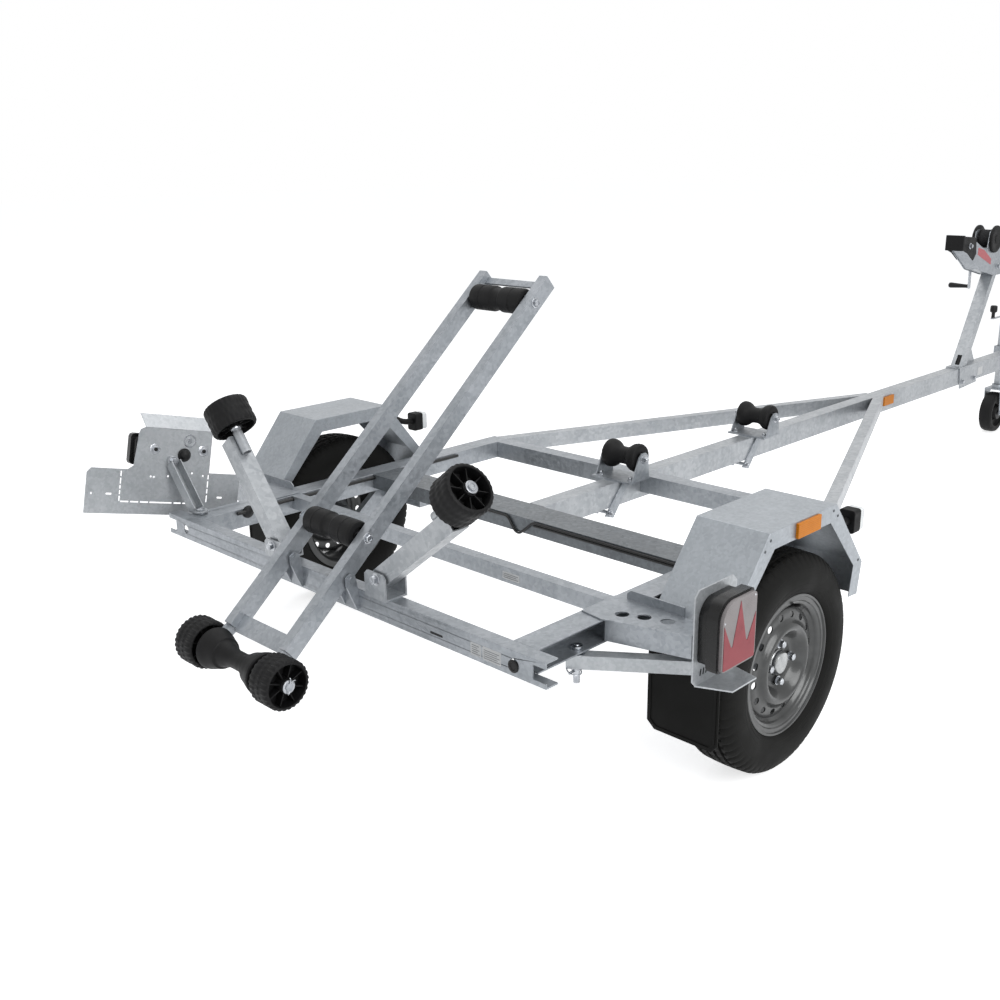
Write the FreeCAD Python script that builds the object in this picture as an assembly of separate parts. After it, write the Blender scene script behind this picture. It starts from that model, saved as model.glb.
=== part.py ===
import FreeCAD, Part
import math
import os

from FreeCAD import Vector

# Boat trailer with a tilting rear cradle, in millimetres.
#
# Everything is drawn about the trailer's own datum: X forward from the wheel
# axis, Y to the left of the centre line, Z up from the floor. TO_ROW then moves
# each piece so that the centre of the tow ball is the origin.

# ---- driving dimensions ------------------------------------------------------

BALL_X, BALL_Z = 4440.0, 430.0          # tow ball, ahead of the wheel axis
TO_ROW = Vector(-BALL_X, 0, -BALL_Z)

FRAME_TOP = 488.0                       # top of every frame member
RAIL_HEIGHT, SHEET = 60.0, 4.0
RAIL_IN, RAIL_OUT = 650.0, 725.0        # the rails' inner and outer sides
REAR_FACE, REAR_DEPTH, REAR_HALF = -713.0, 40.0, 785.0
MIDDLE_X, MIDDLE_DEPTH, MIDDLE_HEIGHT = -353.0, 35.0, 43.0
AXLE_BEAM_X, AXLE_BEAM_DEPTH, AXLE_BEAM_HEIGHT = -18.0, 118.0, 48.0
FRONT_X, FRONT_DEPTH = 584.0, 60.0

BEAM_WIDTH, BEAM_HEIGHT, BEAM_WALL = 60.0, 80.0, 4.0
BEAM_REAR, BEAM_JOINT, BEAM_FRONT = 104.0, 640.0, 4300.0

LOOM_Y, LOOM_Z, LOOM_R = 643.5, 477.5, 5.5            # the cables along the left rail

STAY_WIDTH, STAY_HEIGHT = 40.0, 56.0
STAY_REAR, STAY_FRONT = (640.0, 690.0), (2235.0, 46.0)

TYRE_R, TYRE_WIDTH, TYRE_OUT = 290.0, 158.0, 971.0
WHEEL_Z = TYRE_R
WHEEL_Y = TYRE_OUT - TYRE_WIDTH / 2

FENDER_IN, FENDER_OUT, FENDER_SHEET = 771.0, 976.0, 3.0
FENDER_TOP, FENDER_LOW, FENDER_SKIRT = 683.0, 488.0, 400.0
FENDER_FLAT, FENDER_END = 154.0, 313.0

CRADLE_TILT = 40.8                      # raised, as it is parked
PIVOT_X, PIVOT_Z = -735.0, 516.0
BAR_IN, BAR_OUT, BAR_DEPTH, BAR_WALL = 104.0, 134.0, 46.0, 3.0
BAR_LOW, BAR_HIGH, BAR_MID = -235.0, 1011.0, 11.5
PIN_R, RUNNING = 8.0, 0.05              # pins, and the gap round them
AXLE_R = 10.0                           # the rollers' axles

LAMP_ARM_PIVOT = (-517.0, -702.0)         # the right light's arm, under its rail
LAMP_ARM_TURN, LAMP_ARM_LENGTH = -54.0, 346.0
LAMP_ARM_Z = (386.0, 420.0)
LAMP_PLATE_Y, LAMP_PLATE_X = 982.0, (-459.0, -300.0)

BOARD_PIVOT = (-650.0, 705.0)             # the left light board's arm, on its rail
BOARD_CORNER = Vector(-949.2, 856.1, 528.5)
BOARD_YAW, BOARD_TILT, BOARD_ROLL = -5.6, -4.4, -13.5
BOARD_LENGTH, BOARD_LOW, BOARD_HIGH = 494.0, 137.0, 271.0
PANEL_REAR, PANEL_FRONT = 148.0, 387.0

JACK_X, JACK_Y = 3995.0, 112.0


ACROSS = (0, 1, 0)                      # the direction of every level axle


# ---- small helpers -----------------------------------------------------------

def box(x, y, z):
    """A box from three (low, high) pairs."""
    return Part.makeBox(x[1] - x[0], y[1] - y[0], z[1] - z[0], Vector(x[0], y[0], z[0]))


def rod(start, end, radius):
    """A round bar from one point to another."""
    along = Vector(*end) - Vector(*start)
    return Part.makeCylinder(radius, along.Length, Vector(*start), along)


def pipe(start, end, outer, inner):
    """A round tube from one point to another."""
    return rod(start, end, outer).cut(rod(start, end, inner))


def slab(outline, thickness, origin=(0, 0, 0), across="y"):
    """A plate: an outline in the plane across X, Y or Z, made `thickness` thick along that axis."""
    place = {"x": lambda a, b: Vector(0, a, b), "y": lambda a, b: Vector(a, 0, b),
             "z": lambda a, b: Vector(a, b, 0)}[across]
    normal = {"x": Vector(1, 0, 0), "y": Vector(0, 1, 0), "z": Vector(0, 0, 1)}[across]
    points = [place(a, b) + Vector(*origin) for a, b in outline]
    return Part.Face(Part.makePolygon(points + points[:1])).extrude(normal * thickness)


def turned(profile, centre, axis):
    """A turned piece: (along, radius) points, revolved about an axis through centre."""
    along = Vector(*axis)
    side = Vector(0, 0, 1) if abs(along.z) < 0.5 else Vector(1, 0, 0)
    side = (side - along * side.dot(along)).normalize()
    points = [Vector(*centre) + along * a + side * r for a, r in profile]
    face = Part.Face(Part.makePolygon(points + points[:1]))
    return face.revolve(Vector(*centre), along, 360)


def mirrored(shape):
    """The same piece on the other side of the centre line."""
    return shape.mirror(Vector(0, 0, 0), Vector(0, 1, 0))


def both_sides(shape):
    """A piece and its mirror image, as two solids."""
    return Part.makeCompound([shape, mirrored(shape)])


def fused(pieces):
    """Pieces that are welded into one solid."""
    first = pieces[0]
    return first.fuse(pieces[1:]).removeSplitter() if len(pieces) > 1 else first


def turn_about(shape, point, axis, degrees):
    """A copy of the shape, turned about an axis through a point."""
    copy = shape.copy()
    copy.rotate(Vector(*point), Vector(*axis), degrees)
    return copy


def cable(route, radius, bend):
    """A round cable along straight runs, with an arc of the bend's radius at each corner between them."""
    points = [Vector(*p) for p in route]
    edges, start = [], points[0]
    for before, corner, after in zip(points, points[1:], points[2:]):
        back, ahead = (before - corner).normalize(), (after - corner).normalize()
        half = back.getAngle(ahead) / 2
        reach = bend / math.tan(half)
        first, last = corner + back * reach, corner + ahead * reach
        centre = corner + (back + ahead).normalize() * (bend / math.sin(half))
        middle = centre + (corner - centre).normalize() * bend
        edges += [Part.makeLine(start, first), Part.Arc(first, middle, last).toShape()]
        start = last
    edges.append(Part.makeLine(start, points[-1]))
    ring = Part.Wire(Part.makeCircle(radius, points[0], points[1] - points[0]))
    return Part.Wire(edges).makePipeShell([ring], True, True)


# ---- frame -------------------------------------------------------------------

def channel_along_y(x_web, depth, half_length, height, top=FRAME_TOP, y_from=None):
    """A crossmember: an upright web at the rear with a flange forward at the top and the bottom."""
    y = (-half_length if y_from is None else y_from, half_length)
    low = top - height
    web = box((x_web, x_web + SHEET), y, (low, top))
    upper = box((x_web, x_web + depth), y, (top - SHEET, top))
    lower = box((x_web, x_web + depth), y, (low, low + SHEET))
    return fused([web, upper, lower])


def rear_crossbeam():
    beam = channel_along_y(REAR_FACE, REAR_DEPTH, REAR_HALF, RAIL_HEIGHT + 3)
    notch = box((REAR_FACE - 1, REAR_FACE + SHEET + 1), (745, REAR_HALF + 1), (438, 472))
    hole = rod((REAR_FACE - 1, 690, 455), (REAR_FACE + SHEET + 1, 690, 455), 13)
    return beam.cut([notch, mirrored(notch), hole, mirrored(hole)])


def side_rails():
    low = FRAME_TOP - RAIL_HEIGHT
    x = (REAR_FACE + REAR_DEPTH, FRONT_X + FRONT_DEPTH)
    web = box(x, (RAIL_IN, RAIL_IN + SHEET), (low, FRAME_TOP))
    upper = box(x, (RAIL_IN, RAIL_OUT), (FRAME_TOP - SHEET, FRAME_TOP))
    lower = box(x, (RAIL_IN, RAIL_OUT), (low, low + SHEET))
    rail = fused([web, upper, lower])
    lamp_x, lamp_y = LAMP_ARM_PIVOT
    board_x, board_y = BOARD_PIVOT
    right = mirrored(rail).cut(rod((lamp_x, lamp_y, low - 1), (lamp_x, lamp_y, low + 5), PIN_R))
    left = rail.cut(rod((board_x, board_y, FRAME_TOP - 5), (board_x, board_y, FRAME_TOP + 1), PIN_R))
    return Part.makeCompound([left, right])


def loom_hole(x_web):
    """The hole through a crossmember's web where the rail's loom passes."""
    return rod((x_web - 1, LOOM_Y, LOOM_Z), (x_web + SHEET + 1, LOOM_Y, LOOM_Z), LOOM_R + 2)


def middle_crossmember():
    beam = channel_along_y(MIDDLE_X, MIDDLE_DEPTH, RAIL_IN, MIDDLE_HEIGHT)
    return beam.cut(loom_hole(MIDDLE_X))


def axle_crossmember():
    beam = channel_along_y(AXLE_BEAM_X, AXLE_BEAM_DEPTH, RAIL_IN, AXLE_BEAM_HEIGHT)
    return beam.cut(loom_hole(AXLE_BEAM_X))


def front_crossmember():
    half = channel_along_y(FRONT_X, FRONT_DEPTH, RAIL_IN, RAIL_HEIGHT, y_from=BEAM_WIDTH / 2)
    return both_sides(half)


def box_beam(x_low, x_high):
    """A length of the rectangular tube on the centre line."""
    half, wall = BEAM_WIDTH / 2, BEAM_WALL
    low = FRAME_TOP - BEAM_HEIGHT
    outer = box((x_low, x_high), (-half, half), (low, FRAME_TOP))
    inner = box((x_low - 1, x_high + 1), (-half + wall, half - wall), (low + wall, FRAME_TOP - wall))
    return outer.cut(inner)


def drawbar_stays():
    (x0, y0), (x1, y1) = STAY_REAR, STAY_FRONT
    length = math.hypot(x1 - x0, y1 - y0)
    low = FRAME_TOP - STAY_HEIGHT
    half = STAY_WIDTH / 2
    tube = box((-25, length + 60), (-half, half), (low, FRAME_TOP))
    bore = box((-26, length + 61), (-half + 3, half - 3), (low + 3, FRAME_TOP - 3))
    stay = tube.cut(bore)
    stay.rotate(Vector(0, 0, 0), Vector(0, 0, 1), math.degrees(math.atan2(y1 - y0, x1 - x0)))
    stay.translate(Vector(x0, y0, 0))
    behind = box((x0 - 60, FRONT_X + FRONT_DEPTH), (y0 - 80, y0 + 80), (low - 1, FRAME_TOP + 1))
    inside = box((x0, BEAM_FRONT), (-BEAM_WIDTH / 2, BEAM_WIDTH / 2), (low - 1, FRAME_TOP + 1))
    across = box((x0, BEAM_FRONT), (-300, -BEAM_WIDTH / 2), (low - 1, FRAME_TOP + 1))
    return both_sides(stay.cut([behind, inside, across]))


def wiring_axle():
    """Two cables clipped along the axle beam's rear face; one hangs down where it passes the keel beam."""
    x, z, radius = AXLE_BEAM_X - 4.5, 481.0, 3.6
    hanging = [(x, 96, z), (x, 4, z), (x, -36, 428), (x, -100, z), (x, -640, z)]
    return Part.makeCompound([cable(hanging, radius, 22), rod((x, -104, z - 8), (x, -640, z - 8), radius)])


def wiring_rail():
    """The loom clipped inside the left rail, through the crossmembers' webs."""
    return rod((-560, LOOM_Y, LOOM_Z), (372, LOOM_Y, LOOM_Z), LOOM_R)


# ---- wheels and suspension ---------------------------------------------------

TYRE_PROFILE = [            # (from the middle plane, radius)
    (-62, 168.6), (-62, 185.4), (-70, 190), (-79, 226), (-76, 258), (-64, 282), (-50, 289),
    (0, 290), (50, 289), (64, 282), (76, 258), (79, 226), (70, 190), (62, 185.4), (62, 168.6),
    (52, 168.6), (60, 190), (68, 226), (64, 250), (50, 270), (0, 275), (-50, 270), (-64, 250),
    (-68, 226), (-60, 190), (-52, 168.6),
]
RIM_PROFILE = [             # the seats and flanges that hold the tyre, then the visible side with the disc
    (62.1, 185), (62.1, 168), (52, 160), (30, 150), (10, 148), (-30, 156), (-52, 160), (-62.1, 168),
    (-62.1, 185), (-66, 185), (-66, 165), (-56, 155), (-31, 150), (-8, 142), (26, 142), (31, 140),
    (40, 136), (43, 128), (44, 117), (47, 110), (56, 104), (60, 97), (57, 89), (43, 79), (33, 71),
    (29, 65), (29, 33), (44, 32), (48, 27), (48, 0), (51, 0), (51, 27), (46, 35), (33, 36), (32, 62),
    (36, 69), (46, 76), (60, 87), (64.5, 96), (61, 105), (51, 113), (48, 119), (47, 130), (43, 140),
    (38, 146), (48, 155), (56, 163), (63, 174), (66, 179), (66, 185),
]


RIM_HOLES, RIM_HOLE_RING = 16, 128.0


def tyre(side):
    return turned(TYRE_PROFILE, (0, side * WHEEL_Y, WHEEL_Z), (0, side, 0))


def rim(side):
    disc = turned(RIM_PROFILE, (0, side * WHEEL_Y, WHEEL_Z), (0, side, 0))
    holes = []
    for index in range(RIM_HOLES):
        angle = 2 * math.pi * (index + 0.35) / RIM_HOLES
        x, z = RIM_HOLE_RING * math.cos(angle), WHEEL_Z + RIM_HOLE_RING * math.sin(angle)
        holes.append(rod((x, side * (WHEEL_Y + 36), z), (x, side * (WHEEL_Y + 60), z), 9))
    return disc.cut(holes)


def hub(side):
    """The bearing housing behind the wheel's disc, with the flange that the disc is bolted to."""
    profile = [(-48, 14.05), (-48, 38), (14, 38), (18, 66), (28.6, 66), (28.6, 32),
               (42, 31), (46, 25), (46, 0), (30, 0), (30, 14.05)]
    return turned(profile, (0, side * WHEEL_Y, WHEEL_Z), (0, side, 0))


def suspension():
    """A torsion tube under the rail, its trailing arm, and the stub axle that the hub turns on."""
    tube = box((110, 180), (560, 742), (358, FRAME_TOP - RAIL_HEIGHT))
    arm = slab([(175, 428), (115, 428), (-28, 318), (-28, 262), (22, 262), (175, 360)], 24, (0, 744, 0))
    link = box((112, 178), (741, 745), (362, 424))
    stub = rod((0, 767, WHEEL_Z), (0, WHEEL_Y + 27, WHEEL_Z), 14)
    return both_sides(fused([tube, link, arm, stub]))


# ---- fenders, lamps on them, mudflaps ----------------------------------------

def fender_outline(inset):
    """The fender's side, clockwise from its rear foot, moved in by `inset`."""
    run = inset * 0.54
    return [(-FENDER_END + inset, FENDER_LOW), (-FENDER_FLAT + run, FENDER_TOP - inset),
            (FENDER_FLAT - run, FENDER_TOP - inset), (FENDER_END - inset, FENDER_LOW)]


def fender(side):
    width = FENDER_OUT - FENDER_IN
    outer = fender_outline(0) + [(FENDER_END - 15, FENDER_SKIRT), (-FENDER_END, FENDER_LOW - 45)]
    inner = fender_outline(FENDER_SHEET)
    inner = inner + [(FENDER_END - 18, FENDER_SKIRT - 1), (-FENDER_END + 3, FENDER_SKIRT - 1)]
    shell = slab(outer, width, (0, FENDER_IN, 0)).cut(slab(inner, width + 2, (0, FENDER_IN - 1, 0)))
    opening = fender_outline(45)
    opening = opening + [(FENDER_END - 60, FENDER_SKIRT - 1), (-FENDER_END + 45, FENDER_SKIRT - 1)]
    lips = []
    for y in (FENDER_IN, FENDER_OUT - FENDER_SHEET):
        lips.append(slab(outer, FENDER_SHEET, (0, y, 0)).cut(slab(opening, 20, (0, y - 5, 0))))
    whole = fused([shell] + lips)
    return whole if side > 0 else mirrored(whole)


def fender_brackets_rear():
    """A folded channel from the rail's top out to the fender's rear foot, with a raised plate."""
    top = slab([(-446, 655), (-318, 655), (-318, 935), (-393, 935), (-455, 720)], SHEET,
               (0, 0, FRAME_TOP), "z")
    rear = slab([(-446, 726), (-393, 935), (-388, 935), (-441, 726)], 54, (0, 0, 434.5), "z")
    holes = [rod((x, y, 480), (x, y, 500), 17) for x, y in ((-400, 741), (-379, 790), (-363, 846))]
    upright = slab([(690, FRAME_TOP + SHEET - 1), (690, 506), (702, 516), (860, 516),
                    (860, FRAME_TOP + 3)], 4, (-318, 0, 0), "x")
    return both_sides(fused([top.cut(holes), rear, upright]))


def fender_brackets_front():
    plate = slab([(640, 490), (640, 430), (760, 420), (960, 440), (960, 486)], 4, (FENDER_END + 1, 0, 0), "x")
    foot = box((FENDER_END - 60, FENDER_END + 5), (RAIL_OUT + 0.5, RAIL_OUT + 5), (432, 486))
    body = plate.cut(box((300, 330), (600, RAIL_OUT + 0.5), (400, 500)))
    return both_sides(fused([body, foot]))


def mudflaps():
    """Rubber sheets behind the tyres, cut away at the top where the light's arm passes."""
    flap = slab([(762, 440), (762, 195), (785, 175), (950, 175), (967, 195), (967, 374), (920, 374),
                 (920, 440)], 5, (-FENDER_END - 9, 0, 0), "x")
    return both_sides(flap)


def position_lamps():
    """White lamps on black bases on the fenders' front slopes."""
    run, drop = FENDER_END - FENDER_FLAT, FENDER_TOP - FENDER_LOW
    lamp = box((-27, 27), (-24, 24), (0.3, 44))
    lamp.rotate(Vector(0, 0, 0), Vector(0, 1, 0), math.degrees(math.atan2(drop, run)))
    lamp.translate(Vector(FENDER_FLAT + run * 0.48, 925, FENDER_TOP - drop * 0.48))
    return both_sides(lamp)


def side_reflectors():
    on_fender = box((-40, 66), (FENDER_OUT + 0.3, FENDER_OUT + 8), (641, 679))
    on_drawbar = box((2320, 2410), (BEAM_WIDTH / 2 + 0.3, BEAM_WIDTH / 2 + 8), (434, 474))
    pieces = [on_fender, mirrored(on_fender), on_drawbar, mirrored(on_drawbar)]
    return Part.makeCompound(pieces)


# ---- rollers -----------------------------------------------------------------

KEEL_ROLLER = [(-68, 10.05), (-68, 40), (-60, 48), (-40, 46), (-18, 31), (18, 31), (40, 46), (60, 48),
               (68, 40), (68, 10.05)]
CRADLE_ROLLER = [(-98, 10.05), (-98, 34), (-94, 36.5), (-20, 36.5), (-14, 32), (14, 32), (20, 36.5),
                 (94, 36.5), (98, 34), (98, 10.05)]
HOURGLASS = [(-116, 10.05), (-116, 50), (-112, 55), (-94, 51), (-64, 41), (-61, 36), (-36, 28), (-24, 24),
             (24, 24), (36, 28), (61, 36), (64, 41), (94, 51), (112, 55), (116, 50), (116, 10.05)]
RIBBED_WHEEL = [(-40, 10.05), (-40, 20), (-6, 20), (-6, 48), (-42, 50), (-42, 58), (-38, 64), (38, 64),
                (42, 58), (42, 50), (6, 48), (6, 20), (40, 20), (40, 10.05)]
REAR_WHEEL = [(-37, 10.05), (-37, 20), (-6, 20), (-6, 48), (-37.5, 50), (-37.5, 58), (-34, 64), (34, 64),
              (37.5, 58), (37.5, 50), (6, 48), (6, 20), (37, 20), (37, 10.05)]


KEEL_ROLLERS = {"rear": (537.0, 560.0), "front": (1344.0, 556.0)}      # (x, z) of each axle


def keel_roller_bracket(x, z):
    """A saddle on the beam: a base plate, two ears that hold the axle, and two straps down the sides."""
    base = box((x - 75, x + 35), (-80, 80), (FRAME_TOP, FRAME_TOP + 6))
    ear = slab([(x - 60, FRAME_TOP), (x + 30, FRAME_TOP), (x + 24, z + 8), (x + 10, z + 20), (x - 10, z + 20),
                (x - 24, z + 8)], 5, (0, 74, 0))
    strap = slab([(x - 5, FRAME_TOP + 6), (x - 45, FRAME_TOP + 6), (x - 140, 385), (x - 100, 372)], 5,
                 (0, BEAM_WIDTH / 2 + 0.5, 0))
    clamp = rod((x - 117, -40, 392), (x - 117, 40, 392), 6)
    axle = rod((x, -84, z), (x, 84, z), 10)
    return fused([base, ear, mirrored(ear), strap, mirrored(strap), clamp, axle])


# ---- tilting cradle ----------------------------------------------------------

def on_cradle(shape):
    """Put a piece drawn along the level cradle, pivot at the origin, into its raised place."""
    placed = turn_about(shape, (0, 0, 0), (0, 1, 0), -CRADLE_TILT)
    placed.translate(Vector(PIVOT_X, 0, PIVOT_Z))
    return placed


def cradle_point(along, above, y=0.0):
    """The place of a point on the raised cradle."""
    a = math.radians(CRADLE_TILT)
    return (PIVOT_X + along * math.cos(a) - above * math.sin(a), y,
            PIVOT_Z + along * math.sin(a) + above * math.cos(a))


CRADLE_ROLLERS = {"top": (929.0, 14.0), "middle": (112.0, 24.0)}        # (along, above) the pivot
REAR_AXLE = (-305.0, 24.0)
REAR_WHEEL_Y = 169.0                    # the rear wheels' middle planes


def cradle_bars():
    """Two rectangular tubes, open at both ends, with holes for the pivots and the roller bolts."""
    half = BAR_DEPTH / 2
    outer = box((BAR_LOW, BAR_HIGH), (BAR_IN, BAR_OUT), (BAR_MID - half, BAR_MID + half))
    cavity = box((BAR_LOW - 1, BAR_HIGH + 1), (BAR_IN + BAR_WALL, BAR_OUT - BAR_WALL),
                 (BAR_MID - half + BAR_WALL, BAR_MID + half - BAR_WALL))
    pivot_hole = rod((0, BAR_IN - 1, 0), (0, BAR_OUT + 1, 0), PIN_R + RUNNING)
    holes = [rod((a, BAR_IN - 1, h), (a, BAR_OUT + 1, h), AXLE_R) for a, h in CRADLE_ROLLERS.values()]
    return on_cradle(both_sides(outer.cut([cavity, pivot_hole] + holes)))


CROSSBARS = ((-243.0, -193.0), (982.0, 1004.0))           # each strip's extent along the bars


def cradle_crossbars():
    """Flat strips welded between the bars, near their lower and upper ends."""
    strips = [box(along, (-BAR_IN, BAR_IN), (BAR_MID - 3, BAR_MID + 3)) for along in CROSSBARS]
    return on_cradle(Part.makeCompound(strips))


def cradle_axles():
    """The two roller bolts of the cradle."""
    bolts = []
    for along, above in CRADLE_ROLLERS.values():
        shaft = rod((along, -BAR_OUT - 6, above), (along, BAR_OUT + 6, above), AXLE_R)
        heads = [rod((along, s * BAR_OUT, above), (along, s * (BAR_OUT + 10), above), 15) for s in (-1, 1)]
        bolts.append(fused([shaft] + heads))
    return on_cradle(Part.makeCompound(bolts))


CARRIER_Y, CARRIER_SHEET, REAR_AXLE_HALF = 121.5, 4.5, 214.0


def rear_axle_carrier():
    """Two plates out of the bars' lower ends, and the axle of the rear roller and its wheels."""
    along, above = REAR_AXLE
    half = BAR_DEPTH / 2 - BAR_WALL
    plug = box((BAR_LOW, BAR_LOW + 36), (BAR_IN + BAR_WALL, BAR_OUT - BAR_WALL),
               (BAR_MID - half, BAR_MID + half))
    outline = [(BAR_LOW - 1, BAR_MID - half), (BAR_LOW + 10, BAR_MID - half), (BAR_LOW + 10, BAR_MID + half),
               (BAR_LOW - 1, BAR_MID + half), (along + 6, above + 20), (along - 14, above + 14),
               (along - 20, above), (along - 14, above - 14), (along + 6, above - 20)]
    plate = slab(outline, CARRIER_SHEET, (0, CARRIER_Y, 0))
    axle = rod((along, -REAR_AXLE_HALF, above), (along, REAR_AXLE_HALF, above), AXLE_R)
    return on_cradle(fused([plug, mirrored(plug), plate, mirrored(plate), axle]))


def cradle_pivot_brackets():
    """Ears on the rear crossbeam, either side of each bar, with the pivot pin."""
    outline = [(REAR_FACE - 6, 432), (REAR_FACE, 432), (REAR_FACE, FRAME_TOP), (PIVOT_X + 14, PIVOT_Z + 10),
               (PIVOT_X, PIVOT_Z + 16), (PIVOT_X - 14, PIVOT_Z + 8), (PIVOT_X - 14, PIVOT_Z - 14)]
    inner = slab(outline, 5, (0, BAR_IN - 12, 0))
    outer = slab(outline, 5, (0, BAR_OUT + 6, 0))
    back = box((REAR_FACE - 6, REAR_FACE), (BAR_IN - 12, BAR_OUT + 11), (432, 480))
    pin = rod((PIVOT_X, BAR_IN - 14, PIVOT_Z), (PIVOT_X, BAR_OUT + 16, PIVOT_Z), PIN_R)
    return both_sides(fused([inner, outer, back, pin]))


# ---- side rollers ------------------------------------------------------------

SIDE_ARMS = {               # side: (foot from the centre line, foot height, lean above level)
    "left": (225.0, 544.0, 51.0),
    "right": (258.0, 558.0, 38.0),
}
SIDE_ARM_X = -693.0
SIDE_TUBE, SIDE_ARM_LENGTH, SIDE_AXLE_OFFSET, SIDE_ROLLER_AT = 50.0, 300.0, 36.0, 352.0
SIDE_ARM_FOOT = -28.0                   # the saddle's bolt, along the arm


def on_side_arm(shape, side):
    """Put a piece drawn along an arm (X along it, Z to its inner side) into its place."""
    y, z, lean = SIDE_ARMS[side]
    placed = turn_about(shape, (0, 0, 0), (0, 0, 1), 90)
    placed = turn_about(placed, (0, 0, 0), (1, 0, 0), lean)
    placed.translate(Vector(SIDE_ARM_X, y, z))
    return placed if side == "left" else mirrored(placed)


def side_roller_arm(side):
    """A square tube in a saddle on the rear crossbeam, with the roller's axle on its inner face."""
    half, bore = SIDE_TUBE / 2, SIDE_TUBE / 2 - 3
    tube = box((SIDE_ARM_FOOT - 14, SIDE_ARM_LENGTH), (-half, half), (-half, half))
    tube = tube.cut(box((SIDE_ARM_FOOT - 15, SIDE_ARM_LENGTH + 1), (-bore, bore), (-bore, bore)))
    start = SIDE_ARM_LENGTH - 45
    axle = rod((start, 0, SIDE_AXLE_OFFSET), (SIDE_ROLLER_AT + 46, 0, SIDE_AXLE_OFFSET), AXLE_R)
    weld = box((start, SIDE_ARM_LENGTH - 2), (-6, 6), (half - 1, SIDE_AXLE_OFFSET - 6))
    arm = on_side_arm(fused([tube, axle, weld]), side)
    y, z, lean = SIDE_ARMS[side]
    a = math.radians(lean)
    y, z = y + SIDE_ARM_FOOT * math.cos(a), z + SIDE_ARM_FOOT * math.sin(a)
    x, sheet = SIDE_ARM_X, 5
    outline = [(y - 44, FRAME_TOP), (y + 34, FRAME_TOP), (y + 34, z + 6),
               (y + 24, z + 16), (y - 34, z + 16), (y - 44, z + 6)]
    walls = slab(outline, 70, (x - 35, 0, 0), "x")
    walls = walls.cut(box((x - 35 + sheet, x + 35 - sheet), (y - 45, y + 35), (FRAME_TOP + sheet, z + 17)))
    bolt = rod((x - 42, y, z), (x + 42, y, z), PIN_R)
    saddle = fused([walls, bolt])
    return fused([arm, saddle if side == "left" else mirrored(saddle)])


def side_roller_axis(side):
    """A side roller's centre and the direction of its axle."""
    y, z, lean = SIDE_ARMS[side]
    a = math.radians(lean)
    centre_y = y + SIDE_ROLLER_AT * math.cos(a) - SIDE_AXLE_OFFSET * math.sin(a)
    centre_z = z + SIDE_ROLLER_AT * math.sin(a) + SIDE_AXLE_OFFSET * math.cos(a)
    sign = 1 if side == "left" else -1
    return (SIDE_ARM_X, sign * centre_y, centre_z), (0, sign * math.cos(a), math.sin(a))


# ---- lights on their swinging arms -------------------------------------------

def light_arm_right():
    """A channel under the rail, turning on a pin, with the lamp's folded plate on its outer end."""
    x, y = LAMP_ARM_PIVOT
    low, high = LAMP_ARM_Z
    channel = box((-24, LAMP_ARM_LENGTH), (-17, 17), LAMP_ARM_Z)
    channel = channel.cut(box((-25, LAMP_ARM_LENGTH + 1), (-14, 14), (low - 1, high - 3)))
    channel = fused([channel, rod((0, 0, low), (0, 0, high), 12.5)])
    channel = channel.cut(rod((0, 0, low - 1), (0, 0, high + 1), PIN_R + RUNNING))
    channel.rotate(Vector(0, 0, 0), Vector(0, 0, 1), LAMP_ARM_TURN)
    channel.translate(Vector(x, y, 0))
    channel = channel.cut(box((x, 0), (-1200, -LAMP_PLATE_Y), (low - 1, high + 1)))
    rear, front = LAMP_PLATE_X
    outline = [(rear, 417), (rear + 12, 405), (front, 405), (front, 615), (front - 15, 630),
               (rear + 15, 630), (rear, 615)]
    plate = slab(outline, 4, (0, -LAMP_PLATE_Y - 4, 0))
    lip = slab([(rear + 12, -LAMP_PLATE_Y), (front, -LAMP_PLATE_Y), (front - 19, -1060), (rear + 46, -1060)],
               4, (0, 0, 402), "z")
    return fused([channel, plate, lip])


def lamp_right():
    rear, front = LAMP_PLATE_X
    face = -LAMP_PLATE_Y - 4.3
    outline = [(rear + 4, 440), (front - 18, 430), (front - 18, 590), (front - 42, 606), (rear + 4, 606)]
    return slab(outline, 66, (0, face - 66, 0))


def on_board(shape):
    """Put a piece drawn on the light board (X along it, Y outwards, Z up) into its place."""
    placed = turn_about(shape, (0, 0, 0), (0, 1, 0), -BOARD_ROLL)
    placed = turn_about(placed, (0, 0, 0), (1, 0, 0), BOARD_TILT)
    placed = turn_about(placed, (0, 0, 0), (0, 0, 1), BOARD_YAW)
    placed.translate(BOARD_CORNER)
    return placed


def on_board_point(along, out, up):
    """The place of a point of the light board."""
    point = Part.Vertex(along, out, up)
    return on_board(point).Point


# dashes cut where the number plate's frame folds: (low, high) along or up, at one height or distance
FOLD_ACROSS = [(108, 134), (139, 165), (170, 196), (200, 272), (278, 302), (307, 331)]
FOLD_REAR = [(39, 55), (60, 72), (77, 87), (92, 110), (115, 131)]
FOLD_FRONT = [(44, 66), (72, 86), (91, 111), (117, 131)]
BOARD_HOLES = [(18, 60), (197, 118), (207, 117), (252, 121), (330, 134), (367, 127)]
BOARD_SLOTS = [(71, 60), (430, 60)]
FOLD_WIDTH = 4.5


def board_slots():
    """The dashes, holes and slots that go through the light board."""
    y, half = (-1, 3), FOLD_WIDTH / 2
    cuts = [box(span, y, (38 - half, 38 + half)) for span in FOLD_ACROSS]
    cuts += [box((104 - half, 104 + half), y, span) for span in FOLD_REAR]
    cuts += [box((PANEL_FRONT - 1.5 - half, PANEL_FRONT - 1.5 + half), y, span) for span in FOLD_FRONT]
    cuts += [rod((s, -1, t), (s, 3, t), 3.2) for s, t in BOARD_HOLES]
    cuts += [box((s - 9, s + 9), y, (t - 3, t + 3)) for s, t in BOARD_SLOTS]
    return cuts


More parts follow.
